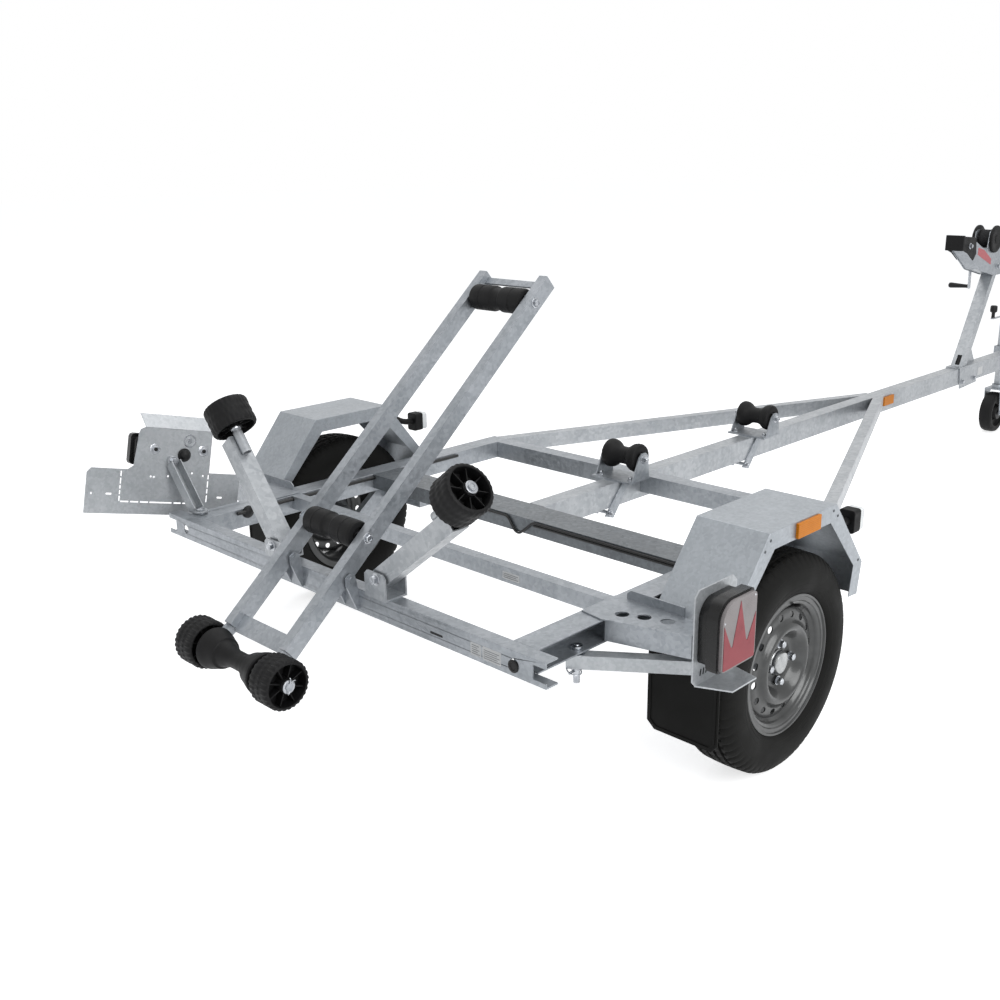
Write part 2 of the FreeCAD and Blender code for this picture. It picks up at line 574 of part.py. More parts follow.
def light_arm_left():
    """The long number plate board with the lamp's panel above it, and the strut it swings on."""
    outline = [(0, 0), (BOARD_LENGTH, 0), (BOARD_LENGTH, BOARD_LOW), (PANEL_FRONT, BOARD_LOW),
               (PANEL_FRONT, BOARD_HIGH - 2), (PANEL_REAR + 20, BOARD_HIGH - 2),
               (PANEL_REAR + 5, BOARD_HIGH - 10), (PANEL_REAR, BOARD_HIGH - 25),
               (PANEL_REAR - 8, BOARD_LOW + 12), (PANEL_REAR - 25, BOARD_LOW),
               (12, BOARD_LOW), (0, BOARD_LOW - 14)]
    sheet = slab(outline, 2).cut(board_slots())
    fold = slab([(PANEL_REAR + 20, 0), (PANEL_FRONT, 0), (PANEL_FRONT - 12, 55), (PANEL_REAR + 14, 55)], 2,
                (0, 0, BOARD_HIGH - 3), "z")
    fold = turn_about(fold, (0, 0, BOARD_HIGH - 3), (1, 0, 0), 45)
    boss = rod((258, -14, 171), (258, 0, 171), 16)
    board = on_board(fused([sheet, fold, boss]))
    x, y = BOARD_PIVOT
    tab = box((x - 22, x + 22), (y - 4, y + 30), (493.2, 498.2)).fuse(rod((x, y, 493.2), (x, y, 498.2), 22))
    foot, head = Vector(x, y + 26, 500), on_board_point(258, -12, 171)
    along = head - foot
    strut = box((-17, 17), (-17, 17), (-6, along.Length - 6))
    strut = strut.cut(box((-14, 14), (-18, 14), (-7, along.Length + 9)))
    lean = math.degrees(math.acos(along.z / along.Length))
    strut.rotate(Vector(0, 0, 0), Vector(1, 0, 0), -lean)
    strut.rotate(Vector(0, 0, 0), Vector(0, 0, 1), math.degrees(math.atan2(along.y, along.x)) - 90)
    strut.translate(foot)
    arm = fused([tab, strut]).cut(box((x - 60, x + 60), (y - 80, y + 120), (440, 493.2)))
    hole = rod((x, y, 490), (x, y, 520), PIN_R + RUNNING)
    return fused([board, arm]).cut(hole)


def lamp_left():
    """The rear lamp on the board's outer side, held by two bolts."""
    low, high, rear, front = 150, 246, 134, 352
    outline = [(rear + 8, low), (front - 8, low), (front, low + 8), (front, high - 8), (front - 8, high),
               (rear + 8, high), (rear, high - 8), (rear, low + 8)]
    return on_board(slab(outline, 54, (0, 2.3, 0)))


def light_pivots():
    """The pin that the right light's arm turns on, and the bolt of the left board's arm."""
    x, y = LAMP_ARM_PIVOT
    low = FRAME_TOP - RAIL_HEIGHT
    pin = rod((x, y, 346), (x, y, low + SHEET + 8), PIN_R)
    head = rod((x, y, low + SHEET), (x, y, low + SHEET + 8), 14)
    washer = rod((x, y, LAMP_ARM_Z[1] + 0.2), (x, y, low), 14)
    stop = rod((x, y, 380), (x, y, LAMP_ARM_Z[0] - 0.2), 14)
    bx, by = BOARD_PIVOT
    bolt = rod((bx, by, FRAME_TOP - SHEET - 12), (bx, by, 508), PIN_R)
    nut = rod((bx, by, FRAME_TOP - SHEET - 12), (bx, by, FRAME_TOP - SHEET), 13)
    spacer = rod((bx, by, FRAME_TOP), (bx, by, 493), 14)
    cap = rod((bx, by, 498.4), (bx, by, 506), 13)
    return Part.makeCompound([fused([pin, head, washer, stop]), fused([bolt, nut, spacer, cap])])


# ---- winch post, winch and bow stop ------------------------------------------

DRUM_X, DRUM_Z = 3345.0, 1095.0
CRANK_X, CRANK_Z = 3350.0, 1050.0
CHEEK = [(3025, 1112), (3018, 1064), (3196, 957), (3384, 917), (3480, 917), (3480, 985), (3400, 1130),
         (3380, 1140), (3310, 1140), (3290, 1130), (3270, 1040), (3090, 1114)]


def winch_post():
    """A channel leaning forward from a clamp round the drawbar, with a gusset in front."""
    side = [(3140, FRAME_TOP + 4), (3186, FRAME_TOP + 4), (3436, 921), (3393, 921)]
    post = slab(side, 58, (0, -29, 0))
    hollow = slab([(3144, FRAME_TOP + 3), (3200, FRAME_TOP + 3), (3450, 926), (3400, 926)], 50, (0, -25, 0))
    slot = box((3100, 3200), (-11, 11), (FRAME_TOP + 12, 545))
    gusset = slab([(3182, FRAME_TOP + 4), (3345, FRAME_TOP + 4), (3270, 593), (3242, 593)], 6, (0, -3, 0))
    foot = box((3100, 3345), (-36, 36), (FRAME_TOP, FRAME_TOP + 6))
    cheek = slab([(3102, FRAME_TOP + 6), (3300, FRAME_TOP + 6), (3314, 396), (3122, 388)], 5,
                 (0, BEAM_WIDTH / 2 + 0.5, 0))
    shell = fused([post.cut(hollow), gusset, foot, cheek, mirrored(cheek)])
    return shell.cut(slot)


def winch_frame():
    """Two cheeks on the post's top, joined by a floor, with round covers over the drum's gears."""
    cheek = slab(CHEEK, 4, (0, 32, 0))
    floor = slab([(3018, 1068), (3196, 961), (3384, 921), (3480, 921), (3480, 925), (3384, 925), (3197, 965),
                  (3018, 1072)], 64, (0, -32, 0))
    cover = rod((DRUM_X, 36, DRUM_Z), (DRUM_X, 48, DRUM_Z), 63)
    shaft_hole = rod((DRUM_X, -60, DRUM_Z), (DRUM_X, 60, DRUM_Z), 8)
    crank_hole = rod((CRANK_X, -60, CRANK_Z), (CRANK_X, 60, CRANK_Z), PIN_R + RUNNING)
    return fused([floor, cheek, mirrored(cheek), cover, mirrored(cover)]).cut([shaft_hole, crank_hole])


def bow_stop():
    """A rubber pad across the bow's way, on two short arms."""
    pad = box((2972, 2990), (-43, 43), (1062, 1132))
    arm = slab([(2988, 1075), (3040, 1078), (3040, 1104), (2988, 1118)], 8, (0, 20, 0))
    return fused([pad, arm, mirrored(arm)])


def winch_drum():
    profile = [(-27, 8.05), (-27, 50), (-23, 50), (-23, 32), (23, 32), (23, 50), (27, 50), (27, 8.05)]
    return turned(profile, (DRUM_X, 0, DRUM_Z), ACROSS)


def winch_shaft():
    return rod((DRUM_X, -52, DRUM_Z), (DRUM_X, 52, DRUM_Z), 8)


def winch_crank():
    shaft = rod((CRANK_X, 34, CRANK_Z), (CRANK_X, 78, CRANK_Z), PIN_R)
    boss = rod((CRANK_X, 54, CRANK_Z), (CRANK_X, 80, CRANK_Z), 14)
    arm = slab([(CRANK_X - 11, CRANK_Z), (CRANK_X + 11, CRANK_Z), (3374, 850), (3354, 850)], 6, (0, 68, 0))
    grip = rod((3364, 70, 858), (3364, 175, 858), 13)
    return fused([shaft, boss, arm, grip])


# ---- coupling ----------------------------------------------------------------

SOCKET_R = 25.5


def coupling_head():
    shell = Part.makeSphere(35, Vector(BALL_X, 0, BALL_Z)).common(box((4300, 4600), (-60, 60), (BALL_Z, 600)))
    skirt = rod((BALL_X, 0, BALL_Z - 28), (BALL_X, 0, BALL_Z + 1), 35)
    neck = box((4306, BALL_X - 5), (-33, 33), (BALL_Z + 2, 476))
    sleeve = box((4180, 4318), (-36, 36), (FRAME_TOP - BEAM_HEIGHT - 6, FRAME_TOP + 6))
    inside = box((4170, BEAM_FRONT + 0.2), (-30, 30), (FRAME_TOP - BEAM_HEIGHT, FRAME_TOP))
    ball = Part.makeSphere(SOCKET_R, Vector(BALL_X, 0, BALL_Z + 4))
    mouth = rod((BALL_X, 0, BALL_Z - 40), (BALL_X, 0, BALL_Z + 4), SOCKET_R)
    return fused([shell, skirt, neck, sleeve]).cut([inside, ball, mouth])


def coupling_handle():
    outline = [(4330, 477), (4360, 477), (4380, 520), (4520, 560),
               (4520, 575), (4370, 540), (4330, 500)]
    return slab(outline, 30, (0, -15, 0))


# ---- jockey wheel ------------------------------------------------------------

JACK_TUBE_R, JACK_BORE_R, JACK_LEG_R, JACK_LEG_BORE_R = 25.0, 21.05, 21.0, 17.0
JACK_TUBE_Z, JACK_LEG_Z = (340.0, 630.0), (262.0, 550.0)
LEVER_REACH = 175.0                     # from the jack's axis to the knob


def jack_clamp():
    """A block on the drawbar's side that holds the jack's tube, with its clamping bolt."""
    plate = box((JACK_X - 45, JACK_X + 45), (BEAM_WIDTH / 2, BEAM_WIDTH / 2 + 6), (400, 496))
    block = box((JACK_X - 30, JACK_X + 30), (BEAM_WIDTH / 2, JACK_Y + 32), (425, 475))
    bore = rod((JACK_X, JACK_Y, 400), (JACK_X, JACK_Y, 500), JACK_TUBE_R)
    bolt = rod((JACK_X + 45, JACK_Y + 5, 450), (JACK_X + 20, JACK_Y + 5, 450), 6)
    return fused([plate, block, bolt]).cut(bore)


def jack_outer():
    """The tube held by the clamp, with the crank lever and its knob on top."""
    low, top = JACK_TUBE_Z
    tube = pipe((JACK_X, JACK_Y, low), (JACK_X, JACK_Y, top), JACK_TUBE_R, JACK_BORE_R)
    cap = rod((JACK_X, JACK_Y, top), (JACK_X, JACK_Y, top + 10), JACK_TUBE_R + 1)
    lever = box((JACK_X - LEVER_REACH - 10, JACK_X + 12), (JACK_Y - 8, JACK_Y + 8), (top + 10, top + 16))
    x = JACK_X - LEVER_REACH
    stem = rod((x, JACK_Y, top + 16), (x, JACK_Y, top + 56), 7)
    knob = rod((x, JACK_Y, top + 50), (x, JACK_Y, top + 80), 16)
    return fused([tube, cap, lever, stem, knob])


def jack_inner():
    low, top = JACK_LEG_Z
    return pipe((JACK_X, JACK_Y, low), (JACK_X, JACK_Y, top), JACK_LEG_R, JACK_LEG_BORE_R)


JACK_WHEEL_R, JACK_TRAIL = 110.0, 35.0


def jack_fork():
    """A crown that turns under the leg, with the two legs that hold the wheel's axle."""
    x = JACK_X - JACK_TRAIL
    crown_low, bridge_low = 244, 238
    crown = rod((JACK_X, JACK_Y, crown_low), (JACK_X, JACK_Y, 261), 30)
    bridge = box((x - 30, JACK_X + 28), (JACK_Y - 44, JACK_Y + 44), (bridge_low, crown_low))
    outline = [(x - 30, crown_low), (JACK_X + 20, crown_low), (x + 16, 96), (x - 16, 96)]
    legs = [slab(outline, 4, (0, y, 0)) for y in (JACK_Y + 40, JACK_Y - 44)]
    axle = rod((x, JACK_Y - 48, JACK_WHEEL_R), (x, JACK_Y + 48, JACK_WHEEL_R), PIN_R)
    return fused([crown, bridge, axle] + legs)


def jack_wheel():
    profile = [(-34, 8.05), (-34, 40), (-10, 46), (-10, 76), (-30, 80), (-34, 100), (-24, 110), (24, 110),
               (34, 100), (30, 80), (10, 76), (10, 46), (34, 40), (34, 8.05)]
    return turned(profile, (JACK_X - JACK_TRAIL, JACK_Y, JACK_WHEEL_R), ACROSS)


# ---- every piece, by the name of its node ------------------------------------

def pieces():
    model = {
        "rear_crossbeam": rear_crossbeam(),
        "side_rails": side_rails(),
        "middle_crossmember": middle_crossmember(),
        "axle_crossmember": axle_crossmember(),
        "front_crossmember": front_crossmember(),
        "keel_beam": box_beam(BEAM_REAR, BEAM_JOINT),
        "drawbar": box_beam(BEAM_JOINT, BEAM_FRONT),
        "drawbar_stays": drawbar_stays(),
        "wiring_axle": wiring_axle(),
        "wiring_rail": wiring_rail(),
        "suspension": suspension(),
        "fender_brackets_rear": fender_brackets_rear(),
        "fender_brackets_front": fender_brackets_front(),
        "mudflaps": mudflaps(),
        "position_lamps": position_lamps(),
        "side_reflectors": side_reflectors(),
        "cradle_bars": cradle_bars(),
        "cradle_crossbars": cradle_crossbars(),
        "cradle_axles": cradle_axles(),
        "cradle_pivot_brackets": cradle_pivot_brackets(),
        "rear_axle_carrier": rear_axle_carrier(),
        "rear_roller": turned(HOURGLASS, cradle_point(*REAR_AXLE), ACROSS),
        "rear_roller_wheels": Part.makeCompound(
            [turned(REAR_WHEEL, cradle_point(*REAR_AXLE, y=s * REAR_WHEEL_Y), ACROSS) for s in (-1, 1)]),
        "light_pivots": light_pivots(),
        "light_arm_left": light_arm_left(),
        "light_arm_right": light_arm_right(),
        "lamp_left": lamp_left(),
        "lamp_right": lamp_right(),
        "winch_post": winch_post(),
        "winch_frame": winch_frame(),
        "winch_shaft": winch_shaft(),
        "winch_drum": winch_drum(),
        "winch_crank": winch_crank(),
        "bow_stop": bow_stop(),
        "coupling_head": coupling_head(),
        "coupling_handle": coupling_handle(),
        "jack_clamp": jack_clamp(),
        "jack_outer_tube": jack_outer(),
        "jack_inner_tube": jack_inner(),
        "jack_fork": jack_fork(),
        "jack_wheel": jack_wheel(),
    }
    for name, sign in (("left", 1), ("right", -1)):
        model[f"tyre_{name}"] = tyre(sign)
        model[f"rim_{name}"] = rim(sign)
        model[f"hub_{name}"] = hub(sign)
        model[f"fender_{name}"] = fender(sign)
        model[f"side_roller_arm_{name}"] = side_roller_arm(name)
        model[f"side_roller_{name}"] = turned(RIBBED_WHEEL, *side_roller_axis(name))
    for name, place in CRADLE_ROLLERS.items():
        model[f"cradle_roller_{name}"] = turned(CRADLE_ROLLER, cradle_point(*place), ACROSS)
    for name, (x, z) in KEEL_ROLLERS.items():
        model[f"keel_roller_{name}"] = turned(KEEL_ROLLER, (x, 0, z), ACROSS)
        model[f"keel_roller_bracket_{name}"] = keel_roller_bracket(x, z)
    return model


os.makedirs("parts", exist_ok=True)
for name, shape in pieces().items():
    shape.translate(TO_ROW)
    shape.exportStep(f"parts/{name}.step")
    print(f"{name:26s} solids {len(shape.Solids):2d} valid {shape.isValid()} "
          f"volume {shape.Volume / 1e6:8.3f} litres")
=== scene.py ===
"""Boat trailer with a tilting rear cradle: the finish and the small pieces of each sub-assembly."""

import logging
import math
from collections.abc import Iterable, Sequence
from dataclasses import dataclass, field
from enum import Enum, IntEnum

import bmesh
import bpy
from mathutils import Matrix, Vector


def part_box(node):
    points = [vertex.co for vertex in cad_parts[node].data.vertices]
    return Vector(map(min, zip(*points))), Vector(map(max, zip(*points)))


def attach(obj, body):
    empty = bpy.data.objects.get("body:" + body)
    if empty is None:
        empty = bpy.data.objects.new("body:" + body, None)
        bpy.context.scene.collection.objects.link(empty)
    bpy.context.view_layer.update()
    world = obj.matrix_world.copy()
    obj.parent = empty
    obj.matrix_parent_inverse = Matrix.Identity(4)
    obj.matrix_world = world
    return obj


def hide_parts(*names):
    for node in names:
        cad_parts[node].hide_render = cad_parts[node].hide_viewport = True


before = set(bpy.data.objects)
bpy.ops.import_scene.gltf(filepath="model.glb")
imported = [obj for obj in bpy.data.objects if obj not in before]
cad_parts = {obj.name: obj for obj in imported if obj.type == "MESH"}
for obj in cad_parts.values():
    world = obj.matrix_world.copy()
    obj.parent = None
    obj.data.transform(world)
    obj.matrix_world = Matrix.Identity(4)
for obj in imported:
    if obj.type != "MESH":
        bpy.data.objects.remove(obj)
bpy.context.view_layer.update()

LOG = logging.getLogger("trailer")
MM = 0.001
AXIS_R = 0.2                        # the small radius at which a turned end stops short of its axis
WASHER = 2.0                        # a washer's thickness
PITCH = 1.5                         # a thread's pitch

Pair = tuple[float, float]
Outline = Sequence[Pair]
Place = tuple[float, float, float]


class Side(IntEnum):
    """A side of the trailer, as the sign of its places left of the centre line."""

    RIGHT = -1
    LEFT = 1

    @property
    def label(self) -> str:
        """The side's name within the names of pieces and bodies."""
        return self.name.lower()


class End(Enum):
    """Which of the two keel rollers is meant."""

    REAR = "rear"
    FRONT = "front"


# ---- places ------------------------------------------------------------------

@dataclass(frozen=True)
class Datum:
    """The trailer's own datum: the floor under the wheels' axis, on the centre line."""

    origin: Vector

    @classmethod
    def from_tyre(cls, node: str) -> "Datum":
        """Find the datum from the box of a tyre that stands on the floor."""
        low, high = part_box(node)
        return cls(Vector(((low.x + high.x) / 2, 0.0, low.z)))

    def at(self, place: Sequence[float]) -> Vector:
        """Turn a place on the trailer into the frame's metres.

        Args:
            place: Millimetres forward of the axle, left of the centre line and up from the floor.

        Returns:
            The point in the frame, in metres.
        """
        return self.origin + Vector(place) * MM

    def matrix(self) -> Matrix:
        """The matrix that takes the datum's millimetres to the frame's metres."""
        return Matrix.Translation(self.origin) @ Matrix.Scale(MM, 4)


DATUM = Datum.from_tyre("tyre_right")


def turned_to(place: Sequence[float], axis: Sequence[float],
              up: Sequence[float] = (0, 0, 1)) -> Matrix:
    """Make a matrix that puts local Z along an axis, with local X as near `up` as it can be.

    Args:
        place: Where the local origin goes.
        axis: The direction of local Z.
        up: The direction that local X leans to.

    Returns:
        The placing matrix, in millimetres.
    """
    along = Vector(axis).normalized()
    lean = Vector(up)
    nearly_parallel = 0.99
    if abs(along.dot(lean.normalized())) > nearly_parallel:
        lean = Vector((1, 0, 0))
    across = (lean - along * lean.dot(along)).normalized()
    third = along.cross(across)
    turn = Matrix((across, third, along)).transposed().to_4x4()
    return Matrix.Translation(Vector(place)) @ turn


def sideways(side: Side, x: float, y: float, z: float) -> Matrix:
    """Make a matrix for a place on one side of the trailer, with local Z pointing outwards.

    Args:
        side: The trailer's side.
        x: Forward of the axle.
        y: Out from the centre line.
        z: Up from the floor.

    Returns:
        The placing matrix, in millimetres.
    """
    return turned_to((x, side * y, z), (0, side, 0))


def spun(turn: float, radius: float, height: float = 0.0) -> Matrix:
    """The matrix of a place at a turn in radians, a radius and a height about local Z."""
    return Matrix.Rotation(turn, 4, "Z") @ Matrix.Translation((radius, 0, height))


def polar(radius: float, turn: float, height: float) -> Vector:
    """The point at a radius, a turn in radians and a height about local Z."""
    return Vector((radius * math.cos(turn), radius * math.sin(turn), height))


# ---- outlines ----------------------------------------------------------------

def circle(radius: float, count: int) -> list[Pair]:
    """The points of a circle about the origin."""
    turns = [2 * math.pi * i / count for i in range(count)]
    return [(radius * math.cos(t), radius * math.sin(t)) for t in turns]


def slot(centre: Pair, length: float, width: float, slant: float = 0.0,
         count: int = 6) -> list[Pair]:
    """The points of a round-ended slot.

    Args:
        centre: The slot's middle.
        length: From end to end.
        width: From side to side.
        slant: The turn of its long axis, in degrees.
        count: Segments in each round end.

    Returns:
        The outline's points, anticlockwise.
    """
    half, radius = (length - width) / 2, width / 2
    points = []
    for end, start in ((half, -90), (-half, 90)):
        for i in range(count + 1):
            turn = math.radians(start + 180 * i / count)
            points.append((end + radius * math.cos(turn), radius * math.sin(turn)))
    c, s = math.cos(math.radians(slant)), math.sin(math.radians(slant))
    return [(centre[0] + u * c - v * s, centre[1] + u * s + v * c) for u, v in points]


def rounded(outline: Outline, radius: float, count: int = 5) -> list[Pair]:
    """Round every corner of an outline with an arc.

    Args:
        outline: The corners.
        radius: The arcs' radius, which short sides make smaller.
        count: Segments in each arc.

    Returns:
        The points of the rounded outline.
    """
    points = []
    size = len(outline)
    share = 0.48                    # of a side that one corner's arc may take
    for i, corner in enumerate(outline):
        here = Vector(corner)
        before, after = Vector(outline[i - 1]) - here, Vector(outline[(i + 1) % size]) - here
        half = before.angle(after) / 2
        reach = min(radius / math.tan(half), before.length * share, after.length * share)
        start, end = here + before.normalized() * reach, here + after.normalized() * reach
        for j in range(count + 1):
            t = j / count
            point = start * (1 - t) ** 2 + here * (2 * t * (1 - t)) + end * t ** 2
            points.append((point.x, point.y))
    return points


def smooth_line(points: Sequence[Sequence[float]], steps: int = 6) -> list[Vector]:
    """Draw a smooth line through points, as a Catmull-Rom curve.

    Args:
        points: The points that the line goes through.
        steps: How many pieces each span has.

    Returns:
        The points of the smooth line.
    """
    given = [Vector(p) for p in points]
    given = [given[0] * 2 - given[1]] + given + [given[-1] * 2 - given[-2]]
    line = []
    for a, b, c, d in zip(given, given[1:], given[2:], given[3:]):
        for i in range(steps):
            t = i / steps
            line.append(0.5 * (2 * b + (c - a) * t + (2 * a - 5 * b + 4 * c - d) * t ** 2
                               + (3 * b - a - 3 * c + d) * t ** 3))
    return line + [given[-2]]


# ---- drawing meshes ----------------------------------------------------------

class Draft:
    """A mesh being drawn, in millimetres about the trailer's datum."""

    def __init__(self, place: Matrix | None = None) -> None:
        """Start an empty mesh.

        Args:
            place: Where the drawing's own origin lies; the datum if left out.
        """
        self.place = place or Matrix.Identity(4)
        self.points: list[Vector] = []
        self.faces: list[tuple[int, ...]] = []
        self.finishes: list[int] = []
        self.finish = 0

    def add(self, points: Iterable[Vector], faces: Iterable[Sequence[int]],
            place: Matrix | None = None) -> None:
        """Add points and the faces between them.

        Args:
            points: The points, in the place's own frame.
            faces: Each face as positions in `points`.
            place: A placing matrix, within the draft's own.
        """
        matrix = self.place @ place if place else self.place
        first = len(self.points)
        self.points += [matrix @ Vector(p) for p in points]
        for face in faces:
            self.faces.append(tuple(first + i for i in face))
            self.finishes.append(self.finish)

    def loft(self, rings: Sequence[Sequence[Vector]], place: Matrix | None = None,
             loop: bool = False) -> None:
        """Skin a row of closed rings that have the same number of points.

        Args:
            rings: The rings in order.
            place: A placing matrix.
            loop: Whether the last ring joins the first; if not, both are filled.
        """
        count, total = len(rings[0]), len(rings)
        faces: list[Sequence[int]] = []
        for i in range(total if loop else total - 1):
            n = (i + 1) % total
            for j in range(count):
                k = (j + 1) % count
                faces.append((i * count + j, i * count + k, n * count + k, n * count + j))
        if not loop:
            faces.append(tuple(reversed(range(count))))
            faces.append(tuple(range((total - 1) * count, total * count)))
        self.add([p for ring in rings for p in ring], faces, place)

    def lathe(self, profile: Outline, place: Matrix | None = None, count: int = 48,
              closed: bool = False) -> None:
        """Turn a profile about local Z.

        Args:
            profile: (along, radius) points.
            place: A placing matrix that puts local Z on the axis.
            count: Segments round the axis.
            closed: Whether the profile's last point joins its first.
        """
        rings = [[Vector((u, v, a)) for u, v in circle(radius, count)] for a, radius in profile]
        self.loft(rings, place, loop=closed)

    def plate(self, outline: Outline, low: float, high: float, place: Matrix | None = None) -> None:
        """Make a plate from an outline in local X and Y, between two heights on local Z.

        Args:
            outline: The edge.
            low: The lower face's height.
            high: The upper face's height.
            place: A placing matrix.
        """
        size = len(outline)
        points = [Vector((u, v, height)) for height in (low, high) for u, v in outline]
        faces: list[Sequence[int]] = [tuple(range(size)), tuple(reversed(range(size, 2 * size)))]
        for j in range(size):
            k = (j + 1) % size
            faces.append((j, k, size + k, size + j))
        self.add(points, faces, place)

    def tube(self, path: Sequence[Sequence[float]], radius: float, count: int = 8,
             place: Matrix | None = None, loop: bool = False) -> None:
        """Draw a round wire along a path.

        Args:
            path: The points of its middle line.
            radius: The wire's radius.
            count: Segments round it.
            place: A placing matrix.
            loop: Whether the path closes on itself.
        """
        line = [Vector(p) for p in path]
        size = len(line)
        rings = []
        side = None
        for i, point in enumerate(line):
            before = line[i - 1] if loop or i else point
            after = line[(i + 1) % size] if loop or i < size - 1 else point
            along = (after - before).normalized()
            if side is None:
                side = along.orthogonal().normalized()
            side = (side - along * side.dot(along)).normalized()
            third = along.cross(side)
            rings.append([point + side * u + third * v for u, v in circle(radius, count)])
        self.loft(rings, place, loop=loop)

    def block(self, x: Pair, y: Pair, z: Pair,
              place: Matrix | None = None) -> None:
        """Add a block between pairs of limits, as part of a larger piece."""
        self.plate([(x[0], y[0]), (x[1], y[0]), (x[1], y[1]), (x[0], y[1])], z[0], z[1], place)

    def hexagon(self, place: Matrix, across: float, low: float, high: float, bore: float = 0.0) -> None:
        """A bolt's head or a nut, with its corners chamfered at the top.

        Args:
            place: A placing matrix with local Z out of the surface.
            across: The width across the flats.
            low: The foot's height.
            high: The top's height.
            bore: The radius of a hole down the middle, or 0.
        """
        corner = across / 2 / math.cos(math.pi / 6)
        profile = [(low, corner), (high - across * 0.08, corner), (high, across * 0.47)]
        if bore:
            profile += [(high, bore), (high - 2, bore)]
        self.lathe(profile, place, 6)

    def bolt(self, place: Matrix, across: float = 17.0, stud: float = 0.0) -> None:
        """A hexagon bolt or nut on its washer, seen from its outer end.

        Args:
            place: A placing matrix with local Z out of the surface.
            across: The width across the flats.
            stud: How far a threaded end stands out of a nut, or 0 for a bolt's head.
        """
        rim, top = across * 0.85, WASHER + across * 0.6
        washer = [(0, AXIS_R), (0, rim), (1.4, rim), (WASHER, across * 0.8), (WASHER, AXIS_R)]
        self.lathe(washer, place, 24)
        self.hexagon(place, across, WASHER, top)
        if stud:
            radius = across * 0.3
            thread = [(top - 1, radius)]
            for i in range(int(stud / PITCH)):
                thread += [(top + i * PITCH, radius), (top + i * PITCH + PITCH / 2, radius - 0.8)]
            self.lathe(thread + [(top + stud, radius - 1.2), (top + stud, 0.1)], place, 16)

    def washer(self, place: Matrix, radius: float, edge: float, top: float, bevel: float,
               count: int = 28) -> None:
        """A washer round a 20 mm axle.

        Args:
            place: A placing matrix with local Z out of the surface.
            radius: Its outer radius.
            edge: The height at which its bevel starts.
            top: Its upper face's height.
            bevel: The bevel's width.
            count: Segments round it.
        """
        bore = 10.2
        profile = [(0, bore), (0, radius), (edge, radius), (top, radius - bevel), (top, bore)]
        self.lathe(profile, place, count, closed=True)

    def rivet(self, place: Matrix, radius: float = 6.0) -> None:
        """A domed rivet head or a round screw head."""
        arc = [(radius * 0.45 * math.sin(t), radius * math.cos(t)) for t in (0.0, 0.5, 0.9, 1.25, 1.5)]
        self.lathe([(-0.5, radius)] + arc, place, 16)

    def mirrored(self) -> None:
        """Add the same drawing on the other side of the centre line."""
        first = len(self.points)
        self.points += [Vector((p.x, -p.y, p.z)) for p in self.points]
        self.faces += [tuple(first + i for i in reversed(face)) for face in self.faces]
        self.finishes += self.finishes


def solid_of(draft: Draft, name: str) -> bpy.types.Object:
    """Turn a drawing into an object with clean, outward faces, in metres.

    Args:
        draft: The drawing.
        name: The object's name.

    Returns:
        The object, linked to the scene.
    """
    mesh = bpy.data.meshes.new(name)
    metres = DATUM.matrix()
    mesh.from_pydata([metres @ p for p in draft.points], [], draft.faces)
    mesh.polygons.foreach_set("material_index", draft.finishes)
    build = bmesh.new()
    build.from_mesh(mesh)
    bmesh.ops.remove_doubles(build, verts=build.verts, dist=1e-6)
    bmesh.ops.dissolve_degenerate(build, edges=build.edges, dist=1e-6)
    bmesh.ops.recalc_face_normals(build, faces=build.faces)
    build.to_mesh(mesh)
    build.free()
    item = bpy.data.objects.new(name, mesh)
    bpy.context.scene.collection.objects.link(item)
    return item


def soften(item: bpy.types.Object, width: float, angle: float = 40.0, segments: int = 2) -> None:
    """Round an object's sharp edges with a modifier.

    Args:
        item: The object.
        width: The rounding's width, in millimetres.
        angle: Edges sharper than this are rounded, in degrees.
        segments: Steps across the rounding.
    """
    bevel = item.modifiers.new("rounding", "BEVEL")
    bevel.width = width * MM
    bevel.segments = segments
    bevel.limit_method = "ANGLE"
    bevel.angle_limit = math.radians(angle)
    bevel.harden_normals = True


def cut(item: bpy.types.Object, tool: Draft) -> None:
    """Cut a drawing's closed shapes out of an object, for good.

    Args:
        item: The object that is cut.
        tool: The drawing of what is taken away.
    """
    knife = solid_of(tool, "knife")
    boolean = item.modifiers.new("cut", "BOOLEAN")
    boolean.operation = "DIFFERENCE"
    boolean.solver = "EXACT"
    boolean.object = knife
    ready = item.evaluated_get(bpy.context.evaluated_depsgraph_get())
    shape = bpy.data.meshes.new_from_object(ready)
    item.modifiers.clear()
    item.data = shape
    bpy.data.objects.remove(knife)


@dataclass
class Piece:
    """A visible piece: its name, the finishes of its faces and the body that carries it."""

    name: str
    finishes: Sequence["Finish"]
    body: str
    slot: str
    replaces: Sequence[str] = ()
    rounding: float = 0.0
    angle: float = 35.0

    def make(self, draft: Draft) -> None:
        """Build the object from its drawing and hand it to its body."""
        self.dress(solid_of(draft, self.name))

    def dress(self, item: bpy.types.Object) -> None:
        """Give an object its finishes, its body and smooth shading that keeps its sharp edges.

        Args:
            item: The object that becomes this piece.
        """
        item.name = self.name
        for finish in self.finishes:
            item.data.materials.append(finish.material())
        item.data.shade_smooth()
        item.data.set_sharp_from_angle(angle=math.radians(self.angle))
        if self.rounding:
            soften(item, self.rounding)
        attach(item, self.body)
        if self.replaces:
            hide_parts(*self.replaces)
        LOG.info("%s on %s", self.name, self.body)


# ---- finishes ----------------------------------------------------------------

